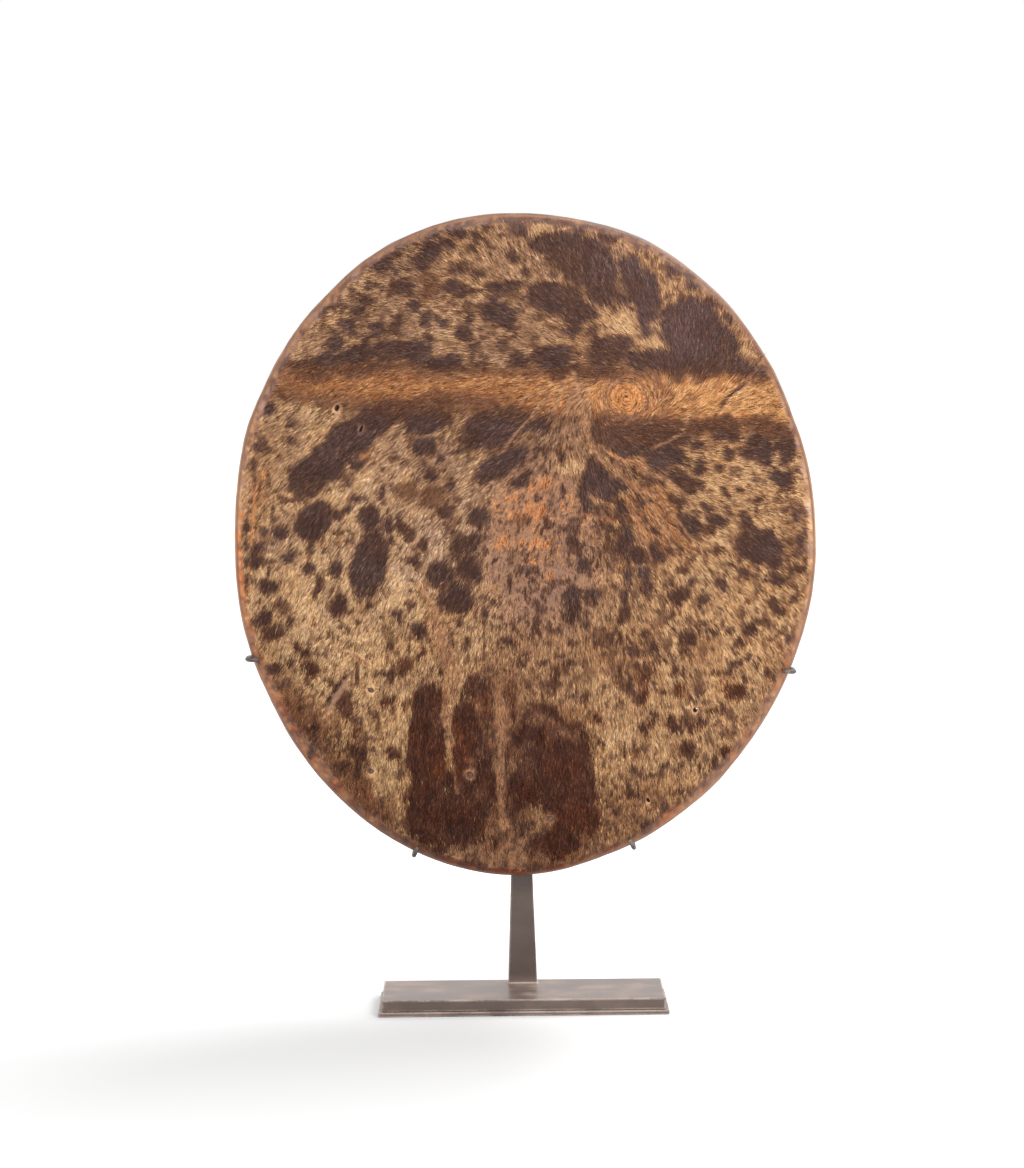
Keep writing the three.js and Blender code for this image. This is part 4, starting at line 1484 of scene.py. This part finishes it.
    def paint_back(self, coat: Coat, places: Array) -> None:
        """Lay plain mottled rawhide over the back, darker by the rim and the holes."""
        x, y, z = places.T
        _, inset = self.form.polar(x, z)
        within = y - self.form.front(x, z)
        behind = ease(within, 0.0022, 0.0038) * ease(inset, 0.0012, 0.003)
        cloud = self.lumps.rough(x * 22 + 5, z * 22 + 5)
        stain = self.lumps.rough(x * 60 + 90, z * 60 + 90)
        tone = Mark.BACK.value[0] + 0.1 * cloud + 0.05 * stain - 0.12 * ease(inset, 0.03, 0.004)
        for hole in ALL_HOLES:
            tone -= 0.07 * ease(np.hypot(x - hole.across, z - hole.up), 0.012, 0.003)
        coat.paint(behind, Mark.BACK.value)
        coat.paint(behind, (tone, coat.warmth, coat.cover))

    def paint_edge(self, coat: Coat, places: Array) -> None:
        """Mottle the rim's outer edge, and darken it towards the back."""
        x, y, z = places.T
        bearing, inset = self.form.polar(x, z)
        at, _, tones, warmths = zip(*RIM_LOOKS)
        tone = np.interp(np.degrees(bearing), at, tones)
        tone = tone + 0.14 * self.lumps.rough(bearing * 30 + 30, y * 160) + 0.06
        warmth = np.interp(np.degrees(bearing), at, warmths)
        warmth = warmth + 0.3 * self.lumps.rough(bearing * 22 + 90, y * 110)
        coat.paint(ease(inset, 0.0028, 0.001) * 0.85, (tone, warmth, coat.cover))
        coat.tone -= 0.1 * ease(y, 0.006, 0.016) * ease(inset, 0.01, 0.002)

    def paint_hole_shade(self, coat: Coat, places: Array) -> None:
        """Paint the walls of the open holes almost black, a painted shade inside them."""
        x, y, z = places.T
        within = y - self.form.front(x, z)
        inside = (within > self.hole_skin) & (within < self.form.thickness - self.hole_skin)
        for hole in OPEN_HOLES:
            coat.tone[(hole.away(x, z) < 2.2) & inside] = self.hole_shade_tone

    def colour(self, mesh: Mesh) -> None:
        """Keep the hide's tone, warmth and hair on its vertices."""
        places = places_of(mesh)
        coat = self.markings.read(places[:, 0], places[:, 2], np.zeros(len(places)))
        self.paint_back(coat, places)
        self.paint_edge(coat, places)
        self.paint_hole_shade(coat, places)
        layers = (("tone", coat.tone), ("warmth", coat.warmth), ("cover", coat.cover))
        for name, values in layers:
            put_values(mesh, name, np.clip(values, 0, 1))

    def build(self, material: Material) -> Object:
        """Return the hide as a piece that replaces its solid."""
        mesh = mesh_from(spun(self.section(), self.around), "hide")
        self.warp(mesh)
        piece = make_piece("hide", mesh, material)
        self.cut_holes(piece)
        piece.data.shade_smooth()
        self.colour(piece.data)
        piece.data.materials.clear()
        piece.data.materials.append(material)
        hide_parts("shield")
        LOG.info("hide with holes: %d faces", len(piece.data.polygons))
        return piece


class Quarter(Enum):
    """A quarter of the hide: whether it lies to the right of the hub and above it."""

    upper_left = (False, True)
    upper_right = (True, True)
    lower_left = (False, False)
    lower_right = (True, False)


@dataclass
class Roots:
    """Where the strands stand: x, z, direction, coat and four numbers of each one's tuft."""

    x: Array
    z: Array
    angle: Array
    coat: Coat
    tuft: Array


@dataclass
class HairCoat:
    """The hair: fine tapered strands that lie along the hide, in four pieces."""

    form: HideForm
    markings: Markings
    flow: HairFlow
    spacing: float = 0.00106
    quick_spacing: float = 0.0022
    length: float = 0.0054
    width: float = 0.00072
    drag: float = 0.0021
    tuft_size: float = 0.0024
    height: float = 0.00028
    root_depth: float = 0.00025
    tip_lift: float = 0.0008
    rim_gap: float = 0.004
    hole_gap: float = 0.0008
    grain: float = 0.7
    most: int = 49000
    seed: int = 5

    def strand(self) -> tuple[Array, Array]:
        """Return one strand's corners along, across and above the skin, and its triangles."""
        work = bmesh.new()
        bmesh.ops.create_cone(work, cap_ends=True, segments=3, radius1=1, radius2=0, depth=1)
        bmesh.ops.remove_doubles(work, verts=work.verts, dist=1e-6)
        bmesh.ops.recalc_face_normals(work, faces=work.faces)
        work.verts.index_update()
        corners = np.array([(vert.co.z + 0.5, vert.co.x, vert.co.y) for vert in work.verts])
        triangles = np.array([[vert.index for vert in face.verts] for face in work.faces])
        work.free()
        return corners, triangles

    def roots(self) -> Roots:
        """Return the strands' roots where the hide has hair."""
        random = np.random.default_rng(self.seed)
        step = self.spacing
        low_x, high_x = self.form.hub[0] - 0.25, self.form.hub[0] + 0.27
        low_z, high_z = self.form.hub[2] - 0.3, self.form.hub[2] + 0.3
        x, z = np.meshgrid(np.arange(low_x, high_x, step), np.arange(low_z, high_z, step))
        x = x.ravel() + random.uniform(-0.6, 0.6, x.size) * step
        z = z.ravel() + random.uniform(-0.6, 0.6, z.size) * step
        _, inset = self.form.polar(x, z)
        x, z = x[inset > self.rim_gap], z[inset > self.rim_gap]
        angle = self.flow.directions(self.markings.view.pixels(self.form.on_front(x, z)))
        drag = self.length * 0.45 + random.uniform(-self.drag, self.drag, x.size)
        grain = random.normal(0, self.grain, x.size)
        coat = self.markings.read(x + np.cos(angle) * drag, z + np.sin(angle) * drag, grain)
        kept = random.uniform(0, 1, x.size) < coat.cover
        half_x, half_z = (turned * self.length * 0.5 for turned in (np.cos(angle), np.sin(angle)))
        for hole in ALL_HOLES:
            kept &= hole.away(x, z, self.hole_gap) > 1.1
            kept &= hole.away(x + half_x, z + half_z, self.hole_gap) > 1.1
        coat = Coat(coat.tone[kept], coat.warmth[kept], coat.cover[kept])
        return Roots(x[kept], z[kept], angle[kept], coat, self.tufts(x[kept], z[kept]))

    def tufts(self, x: Array, z: Array) -> Array:
        """Return four numbers from -1 to 1 for the tuft that each strand belongs to."""
        bend = ValueNoise(61)
        across = x / self.tuft_size + 0.8 * bend.at(x * 300, z * 300)
        up = z / self.tuft_size + 0.8 * bend.at(x * 300 + 50, z * 300)
        cells = np.random.default_rng(self.seed + 2).uniform(-1, 1, (256, 256, 4))
        return cells[np.floor(across).astype(int) % 256, np.floor(up).astype(int) % 256]

    def lay(self, roots: Roots, corners: Array, random: np.random.Generator) -> Array:
        """Return the strands' corners, laid along the hide.

        Args:
            roots: Where the strands stand.
            corners: One strand's corners.
            random: What draws each strand's turn and sizes.

        Returns:
            For each strand, its corners' places.
        """
        count, tuft, marks = roots.x.size, roots.tuft, self.markings
        root = self.form.on_front(roots.x, roots.z)
        angle = roots.angle + random.normal(0, 0.12, count) + 0.22 * tuft[:, 0]
        outward = self.form.outward(roots.x, roots.z)
        heading = np.stack([np.cos(angle), np.zeros(count), np.sin(angle)], axis=1)
        along = heading - outward * np.sum(heading * outward, axis=1, keepdims=True)
        along /= np.linalg.norm(along, axis=1, keepdims=True)
        beside = np.cross(outward, along)
        relief = HidePiece(self.form, marks).relief(roots.x, roots.z)
        root = root + outward * (relief - self.root_depth)[:, None]
        worn = ease(roots.coat.cover, 0.2, 0.95) * 0.5 + 0.5
        column, row = marks.view.pixels(root)
        whorl = ease(np.hypot(column - marks.whorl[0], row - marks.whorl[1]), 36, 20)
        length = self.length * random.uniform(0.65, 1.3, count) * worn
        length = length * (1 + 0.15 * tuft[:, 1]) * (1 - 0.4 * whorl)
        width = self.width * random.uniform(0.7, 1.3, count)
        lift = self.tip_lift * random.uniform(0.3, 1.5, count) * (1 + 0.4 * tuft[:, 1]) * worn
        rise = (lift + self.root_depth)[:, None] * corners[None, :, 0]
        rise = self.height * (corners[None, :, 2] + 0.5) + rise
        shares = (
            (along, length[:, None] * corners[None, :, 0]),
            (beside, 0.5 * width[:, None] * corners[None, :, 1]),
            (outward, rise),
        )
        moves = [axis[:, None, :] * share[:, :, None] for axis, share in shares]
        return root[:, None, :] + moves[0] + moves[1] + moves[2]

    def shade(self, roots: Roots, corners: Array, random: np.random.Generator) -> Array:
        """Return the strands' corners' places on the colour map: tone across and warmth up.

        Args:
            roots: Where the strands stand.
            corners: One strand's corners.
            random: What draws each strand's own shade.

        Returns:
            For each strand, its corners' places on the map.
        """
        count, tuft = roots.x.size, roots.tuft
        pale = ease(roots.coat.tone, 0.3, 0.6)
        tone = roots.coat.tone + random.normal(0, 0.1, count) * (0.45 + 0.45 * pale)
        tone = tone + 0.1 * tuft[:, 2] * (0.3 + pale)
        odd = random.uniform(0, 1, count)
        darker = tone - random.uniform(0.15, 0.5, count)
        tone = np.where((odd < 0.16) & (pale > 0.5), darker, tone)
        tone = np.where((odd > 0.8) & (pale > 0.5), tone + 0.12, tone)
        lighter = tone + random.uniform(0.1, 0.35, count)
        tone = np.where((odd > 0.93) & (pale < 0.2), lighter, tone)
        warmth = roots.coat.warmth + random.normal(0, 0.09, count) + 0.08 * tuft[:, 3]
        tip, side, up = (corners[None, :, index] for index in range(3))
        # Each strand is painted darker at its root and paler at its tip: painted shade among the
        # strands' roots.
        map_x = np.clip(tone, 0.06, 0.92)[:, None] + 0.1 * tip + 0.004 * up - 0.05
        map_y = np.clip(warmth, 0.03, 0.97)[:, None] + 0.006 * side
        return np.stack([map_x, map_y], axis=2)

    def build(self, material: Material) -> list[Object]:
        """Return the four pieces of the coat."""
        random = np.random.default_rng(self.seed + 1)
        roots = self.roots()
        corners, triangles = self.strand()
        places = self.lay(roots, corners, random)
        spots = self.shade(roots, corners, random)
        pieces = []
        for quarter in Quarter:
            right, above = quarter.value
            on_side = (roots.x >= self.form.hub[0]) == right
            index = np.flatnonzero(on_side & ((roots.z >= self.form.hub[2]) == above))
            if index.size > self.most:
                index = np.sort(random.choice(index, self.most, replace=False))
            mesh = self.joined(f"hair_{quarter.name}", places[index], spots[index], triangles)
            piece = make_piece(f"hair_{quarter.name}", mesh, material)
            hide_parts("shield")
            pieces.append(piece)
        return pieces

    def joined(
        self, name: str, places: Array, spots: Array, triangles: Array
    ) -> Mesh:
        """Return many copies of the strand as one mesh.

        Args:
            name: The mesh's name.
            places: For each strand its corners' places.
            spots: For each strand its corners' places on the colour map.
            triangles: One strand's triangles.

        Returns:
            The mesh.
        """
        count, size = places.shape[:2]
        loops = (np.arange(count)[:, None, None] * size + triangles[None]).ravel()
        mesh = bpy.data.meshes.new(name)
        mesh.vertices.add(count * size)
        mesh.loops.add(loops.size)
        mesh.polygons.add(loops.size // 3)
        mesh.vertices.foreach_set("co", places.ravel())
        mesh.loops.foreach_set("vertex_index", loops)
        mesh.polygons.foreach_set("loop_start", np.arange(0, loops.size, 3))
        mesh.update(calc_edges=True)
        mesh.validate()
        colours = mesh.uv_layers.new(name="OFBake")
        colours.data.foreach_set("uv", spots.reshape(-1, 2)[loops].ravel())
        mesh.shade_smooth()
        return mesh


@dataclass
class ThongStubs:
    """The cut-off ends of thongs that are still in four of the holes."""

    form: HideForm
    proud: float = 0.0013
    gap: float = 0.00035
    knot_length: float = 0.004
    knot_flare: float = 1.65
    knot_steps: int = 9
    knot_gap: float = 0.0002
    cut_roughness: float = 0.00022
    squareness: float = 3.2
    steps: int = 28
    lumps: ValueNoise = ValueNoise(41)

    def section(self) -> list[tuple[float, float]]:
        """Return the stub's half section: radius as a share of the shank's, and y in metres."""
        proud, behind = self.proud, self.form.thickness + self.gap
        points = [(0, -proud), (0.4, -proud), (0.72, -proud * 0.96), (0.9, -proud * 0.78)]
        points += [(1, -proud * 0.4), (1, 0), (1, behind * 0.5), (1, behind)]
        knot = behind + self.knot_gap
        for share in np.linspace(0, 1, self.knot_steps):
            flare = 1 + (self.knot_flare - 1) * math.sin(math.pi * share) ** 0.6
            points.append((flare if share < 1 else 0.8, knot + self.knot_length * share))
        points.append((0, knot + self.knot_length))
        return points

    def shape(self, mesh: Mesh, hole: Hole, number: int) -> None:
        """Give a round stub its hole's size, squared sides and a rough cut end."""
        places = places_of(mesh)
        angle = np.arctan2(places[:, 2], places[:, 0])
        power = self.squareness
        square = np.abs(np.cos(angle)) ** power + np.abs(np.sin(angle)) ** power
        square = np.minimum(square ** (-1 / power), 1.06)
        lump = 1 + 0.07 * self.lumps.rough(angle * 2 + 9 * number, places[:, 1] * 600)
        rough = self.lumps.at(places[:, 0] * 2.2 + 5 * number, places[:, 2] * 2.2 + 3)
        places[:, 1] += np.where(places[:, 1] < 0, self.cut_roughness * rough, 0)
        in_hole = (places[:, 1] > -0.0002) & (places[:, 1] < self.form.thickness)
        swell = np.where(in_hole, np.minimum(square * lump, 1.0), square * lump)
        places[:, 0] *= (hole.half_wide - self.gap) * swell
        places[:, 2] *= (hole.half_high - self.gap) * swell
        put_places(mesh, places)

    def build(self, material: Material) -> list[Object]:
        """Return one piece a stub."""
        pieces = []
        for number, (name, hole) in enumerate(THONG_HOLES.items()):
            mesh = mesh_from(spun(self.section(), self.steps), name)
            self.shape(mesh, hole, number)
            mesh.transform(self.form.onto(hole.across, hole.up) @ hole.spin())
            piece = make_piece(f"{name}_cut_end", mesh, material)
            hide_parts(name)
            pieces.append(piece)
        return pieces


# The stand


@dataclass(frozen=True)
class RodPlan:
    """One rod of the stand: which side it leaves, its bearing on the rim, gap and slope."""

    node: str
    side: int
    bearing: float
    gap: float
    slope: float
    has_elbow: bool


@dataclass
class Stand:
    """The steel stand: a foot of two plates, a tapered post and four bent rods."""

    form: HideForm
    plate: tuple[float, float, float] = (0.25, 0.094, 0.004)
    block: tuple[float, float, float] = (0.244, 0.088, 0.01)
    post_foot: float = 0.025
    post_top: float = 0.006
    post_thickness: float = 0.01
    post_behind: float = 0.031
    above_rods: float = 0.008
    rod_radius: float = 0.002
    hook_bend: float = 0.006
    elbow_bend: float = 0.014
    elbow_inset: float = 0.028
    tip_inset: float = 0.007
    touch_gap: float = 0.0003
    lower_root_rise: float = 0.036
    plate_bevel: float = 0.0007
    plate_inset: float = 0.0012
    plate_cuts: tuple[int, int] = (24, 10)
    post_bevel: float = 0.0005
    post_inset: float = 0.0009
    post_rungs: int = 30
    wear_reach: float = 1.2
    bead: float = 0.0014
    bead_rise: float = 0.0013
    bead_top: float = 0.0002
    bead_lumps: float = 0.00022
    rod_bevel: float = 0.0005
    rod_worn: float = 0.006
    rod_bead: tuple[tuple[float, float], ...] = (
        (0, -0.0013), (0.0017, -0.0012), (0.0027, -0.0006), (0.0029, 0), (0.0026, 0.0008),
        (0.0021, 0.0013), (0, 0.0014),
    )
    rods: tuple[RodPlan, ...] = (
        RodPlan("side_hook_left", -1, 202.2, 0.0018, 0.02, False),
        RodPlan("side_hook_right", 1, 335.7, 0.0008, -0.1, False),
        RodPlan("lower_hook_left", -1, 251.4, 0.0001, -2.4, True),
        RodPlan("lower_hook_right", 1, 291.3, 0.0001, -2.0, True),
    )

    @property
    def foot_top(self) -> float:
        """Return the height of the foot's upper face."""
        return self.plate[2] + self.block[2]

    @property
    def side_root(self) -> float:
        """Return the height at which the side rods meet the post."""
        heights = [self.form.rim_point(rod.bearing)[1] for rod in self.rods if not rod.has_elbow]
        return sum(heights) / len(heights)

    @property
    def top(self) -> float:
        """Return the height of the post's top."""
        return self.side_root + self.above_rods

    def half_post(self, height: float) -> float:
        """Return half the post's width at a height."""
        share = (height - self.foot_top) / (self.top - self.foot_top)
        return (self.post_foot + (self.post_top - self.post_foot) * share) / 2

    def mark_faces(self, mesh: Mesh, bevel: float) -> None:
        """Keep on a mesh's vertices which lie by an edge, and which face up."""
        places = places_of(mesh)
        low, high = places.min(axis=0), places.max(axis=0)
        reach = bevel * self.wear_reach
        near = np.minimum(places - low, high - places) < reach
        # Faces that face up take the full pale smears and painted sheen.
        put_wear(mesh, near.sum(axis=1) >= 2, np.where(places[:, 2] > high[2] - reach, 1.0, 0.35))

    def inset_sides(self, work: BMesh, inset: float) -> None:
        """Give each broad side a loop just within its edge, which keeps the edge's wear there."""
        broad = sorted(work.faces, key=lambda face: face.calc_area())[-6:]
        bmesh.ops.inset_individual(work, faces=broad, thickness=inset, use_even_offset=True)

    def slab(
        self, node: str, size: tuple[float, float, float], underside: float,
        material: Material,
    ) -> Object:
        """Return one plate of the foot.

        Args:
            node: The solid that it replaces.
            size: Its sides.
            underside: The height of its underside.
            material: Its finish.

        Returns:
            The piece, with softened edges and enough faces to carry its wear.
        """
        work = box(size, (0, 0, underside + size[2] / 2))
        soften(work, work.edges[:], self.plate_bevel, 3)
        self.inset_sides(work, self.plate_inset)
        for axis, count in enumerate(self.plate_cuts):
            normal = Vector((axis == 0, axis == 1, 0))
            for step in range(1, count):
                cut_loop(work, normal * (size[axis] * (step / count - 0.5)), normal)
        bmesh.ops.recalc_face_normals(work, faces=work.faces)
        mesh = mesh_from(work, node, smooth=False)
        self.mark_faces(mesh, self.plate_bevel)
        piece = make_piece(f"{node}_steel", mesh, material)
        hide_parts(node)
        return piece

    def post(self, material: Material) -> Object:
        """Return the tapered post with softened edges."""
        height, behind = self.top - self.foot_top, self.post_behind
        size = (1, self.post_thickness, height)
        work = box(size, (0, behind, self.foot_top + height / 2))
        for vert in work.verts:
            vert.co.x *= 2 * self.half_post(vert.co.z)
        soften(work, work.edges[:], self.post_bevel, 2)
        self.inset_sides(work, self.post_inset)
        for step in range(1, self.post_rungs):
            place = Vector((0, 0, self.foot_top + height * step / self.post_rungs))
            cut_loop(work, place, Vector((0, 0, 1)))
        bmesh.ops.recalc_face_normals(work, faces=work.faces)
        mesh = mesh_from(work, "post", smooth=False)
        places = places_of(mesh)
        reach = self.post_bevel * self.wear_reach
        half = np.array([self.half_post(z) for z in places[:, 2]])
        at_side = np.abs(np.abs(places[:, 0]) - half) < reach
        at_face = np.abs(np.abs(places[:, 1] - behind) - self.post_thickness / 2) < reach
        put_wear(mesh, (at_side & at_face) * 0.5, (places[:, 2] < self.foot_top + 0.003) * 0.5)
        piece = make_piece("post_steel", mesh, material)
        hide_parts("post")
        return piece

    def post_weld(self, material: Material) -> Object:
        """Return the low bead that joins the post to the foot."""
        wide, deep = (side + 2 * self.bead for side in (self.post_foot, self.post_thickness))
        middle = self.foot_top + self.bead_rise / 2
        work = box((wide, deep, self.bead_rise), (0, self.post_behind, middle))
        for vert in [vert for vert in work.verts if vert.co.z > middle]:
            vert.co.x *= (self.post_foot + self.bead_top) / wide
            behind = vert.co.y - self.post_behind
            behind *= (self.post_thickness + self.bead_top) / deep
            vert.co.y = self.post_behind + behind
        bmesh.ops.subdivide_edges(work, edges=work.edges[:], cuts=11, use_grid_fill=True)
        lumps = ValueNoise(51)
        for vert in work.verts:
            lump = float(lumps.at(np.array(vert.co.x * 420 + 7), np.array(vert.co.y * 420 + 7)))
            vert.co.z += self.bead_lumps * lump * (vert.co.z > self.foot_top + self.bead_top)
        mesh = mesh_from(work, "post_weld")
        put_wear(mesh, 0.75, 0.6)
        return make_piece("post_weld", mesh, material)

    def corners(self, rod: RodPlan) -> list[tuple[Vector, float]]:
        """Return a rod's corners and the bend of each, from its root on the post to its tip."""
        form = self.form
        rim_x, rim_z = form.rim_point(rod.bearing)
        outward = Vector((rod.side, 0, rod.slope)).normalized()

        def place(out: float, y: float) -> Vector:
            """Return a point out from the rim, at a depth."""
            return Vector((rim_x + out * outward.x, y, rim_z + out * outward.z))

        around = self.rod_radius + rod.gap
        start = place(-form.lip_width, 0)
        off_hide = (self.rod_radius + self.touch_gap) / math.cos(form.lip_slope)
        tip_y = float(form.front(np.array(start.x), np.array(start.z))) - off_hide
        elbow = (place(-self.elbow_inset, self.post_behind), self.elbow_bend)
        line = [elbow] if rod.has_elbow else []
        line.append((place(around, self.post_behind), self.hook_bend))
        line.append((place(around, tip_y), self.hook_bend))
        height = rim_z + self.lower_root_rise if rod.has_elbow else self.side_root
        heading = line[0][0]
        slant = abs((heading.z - height) / heading.x)
        narrowed = self.half_post(self.foot_top) - self.half_post(self.top)
        taper = narrowed / (self.top - self.foot_top)
        across = self.half_post(height) + self.touch_gap + self.rod_radius * (slant + taper)
        root = Vector((rod.side * across, self.post_behind, height))
        return [(root, 0.0), *line, (place(-self.tip_inset, tip_y), 0.0)]

    def route(self, corners: list[tuple[Vector, float]], steps: int = 9) -> list[Vector]:
        """Return the points of a line of corners with each corner rounded by its bend."""
        points = [corners[0][0]]
        for (last, _), (here, bend), (following, _) in zip(corners, corners[1:], corners[2:]):
            back, on = last - here, following - here
            opening = back.angle(on)
            setback = bend / math.tan(opening / 2)
            back, on = back.normalized() * setback, on.normalized() * setback
            centre = (back + on).normalized() * (bend / math.sin(opening / 2))
            spoke = back - centre
            axis = spoke.cross(on - centre).normalized()
            for step in range(steps + 1):
                turn = Matrix.Rotation((math.pi - opening) * step / steps, 3, axis)
                points.append(here + centre + turn @ spoke)
        points.append(corners[-1][0])
        return points

    def swept(self, name: str, line: list[Vector]) -> Mesh:
        """Return round bar along a line, as a mesh with flat ends."""
        curve = bpy.data.curves.new(name, "CURVE")
        curve.dimensions = "3D"
        curve.bevel_depth = self.rod_radius
        curve.bevel_resolution = 4
        curve.use_fill_caps = True
        spline = curve.splines.new("POLY")
        spline.points.add(len(line) - 1)
        for point, place in zip(spline.points, line):
            point.co = (*place, 1)
        carrier = in_scene(name, curve)
        made = evaluated_mesh(carrier)
        bpy.data.objects.remove(carrier)
        return made

    def rod(self, plan: RodPlan, material: Material) -> Object:
        """Return one bent rod of round bar with its cut ends softened."""
        line = self.route(self.corners(plan))
        work = bmesh.new()
        work.from_mesh(self.swept(plan.node, line))
        bmesh.ops.remove_doubles(work, verts=work.verts, dist=1e-6)
        rims = [edge for face in work.faces if len(face.verts) > 4 for edge in face.edges]
        soften(work, rims, self.rod_bevel, 2)
        bmesh.ops.recalc_face_normals(work, faces=work.faces)
        mesh = mesh_from(work, plan.node)
        from_tip = np.linalg.norm(places_of(mesh) - np.array(line[-1]), axis=1)
        put_wear(mesh, (from_tip < self.rod_worn) * 0.7, 0.0)
        piece = make_piece(f"{plan.node}_bar", mesh, material)
        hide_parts(plan.node)
        return piece

    def rod_weld(self, plan: RodPlan, material: Material) -> Object:
        """Return the bead that joins a rod to the post."""
        (root, _), (following, _) = self.corners(plan)[:2]
        work = spun(self.rod_bead, 20)
        turn = Vector((0, 1, 0)).rotation_difference(following - root).to_matrix().to_4x4()
        bmesh.ops.transform(work, matrix=Matrix.Translation(root) @ turn, verts=work.verts)
        mesh = mesh_from(work, f"{plan.node}_weld")
        put_wear(mesh, 0.5, 0.0)
        return make_piece(f"{plan.node}_weld", mesh, material)

    def build(self, steel: Material, rod_steel: Material) -> None:
        """Make every piece of the stand."""
        self.slab("foot_plate", self.plate, 0.0, steel)
        self.slab("foot_block", self.block, self.plate[2], steel)
        self.post(steel)
        self.post_weld(steel)
        for plan in self.rods:
            self.rod(plan, rod_steel)
            self.rod_weld(plan, rod_steel)


# The studio


@dataclass(frozen=True)
class Lamp:
    """A soft box: its place, what it points at, its sides, power and colour."""

    name: str
    place: tuple[float, float, float]
    target: tuple[float, float, float]
    size: tuple[float, float]
    power: float
    colour: tuple[float, float, float] = (1.0, 1.0, 1.0)


@dataclass
class Studio:
    """A white studio: pale floor, white surroundings, soft boxes and one broad high light."""

    floor_size: float = 30.0
    surroundings: float = 1.0
    high_light_from: tuple[float, float, float] = (0.23, 0.29, 0.397)
    high_light_strength: float = 1.6
    high_light_spread: float = math.radians(34)
    lamps: tuple[Lamp, ...] = (
        Lamp("upper_front_box", (-1.0, -2.6, 3.1), (0.0, 0.0, 0.5), (1.8, 1.2), 80),
        Lamp("upper_right_box", (1.8, -1.8, 2.5), (0.0, 0.0, 0.5), (1.0, 1.0), 50),
    )

    def hang(
        self, light: Light, place: tuple[float, float, float], heading: Vector
    ) -> None:
        """Put a light at a place, turned so that it shines along a heading."""
        holder = in_scene(light.name, light)
        holder.location = place
        holder.rotation_euler = heading.to_track_quat("-Z", "Y").to_euler()

    def build(self, paper: Material) -> None:
        """Make the floor, the lamps and the surroundings."""
        scene = bpy.context.scene
        work = bmesh.new()
        bmesh.ops.create_grid(work, x_segments=8, y_segments=8, size=self.floor_size / 2)
        mesh = mesh_from(work, "studio_floor")
        mesh.materials.append(paper)
        floor = in_scene("studio_floor", mesh)
        for lamp in self.lamps:
            light = bpy.data.lights.new(lamp.name, "AREA")
            light.shape = "RECTANGLE"
            light.size, light.size_y = lamp.size
            light.energy = lamp.power
            light.color = lamp.colour
            self.hang(light, lamp.place, Vector(lamp.target) - Vector(lamp.place))
        broad = bpy.data.lights.new("high_light", "SUN")
        broad.energy = self.high_light_strength
        broad.angle = self.high_light_spread
        source = Vector(self.high_light_from)
        self.hang(broad, source * 5, -source)
        world = bpy.data.worlds.new("white_surroundings")
        world.use_nodes = True
        background = world.node_tree.nodes["Background"]
        background.inputs["Color"].default_value = (1, 1, 1, 1)
        background.inputs["Strength"].default_value = self.surroundings
        scene.world = world
        scene.view_settings.view_transform = "Standard"
        scene.view_settings.look = "None"


def main() -> None:
    """Build the shield, its coat, the stand and the studio."""
    logging.basicConfig(level=logging.INFO, format="%(name)s: %(message)s")
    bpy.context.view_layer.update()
    view = PictureView()
    view.make_camera()
    form = HideForm()
    markings = Markings(form, view)
    palette = Palette()
    HidePiece(form, markings).build(HideFinish().build(palette))
    HairCoat(form, markings, HairFlow(markings)).build(HairFinish().build(palette))
    ThongStubs(form).build(ThongFinish().build())
    steel = SteelFinish().build()
    bar_colours = (56, 47, 43), (84, 72, 66), (120, 108, 100), (150, 138, 130)
    rod_steel = SteelFinish("rod_steel", *bar_colours, 0.4).build()
    Stand(form).build(steel, rod_steel)
    Studio().build(FloorFinish().build())


if __name__ == "__main__":
    main()
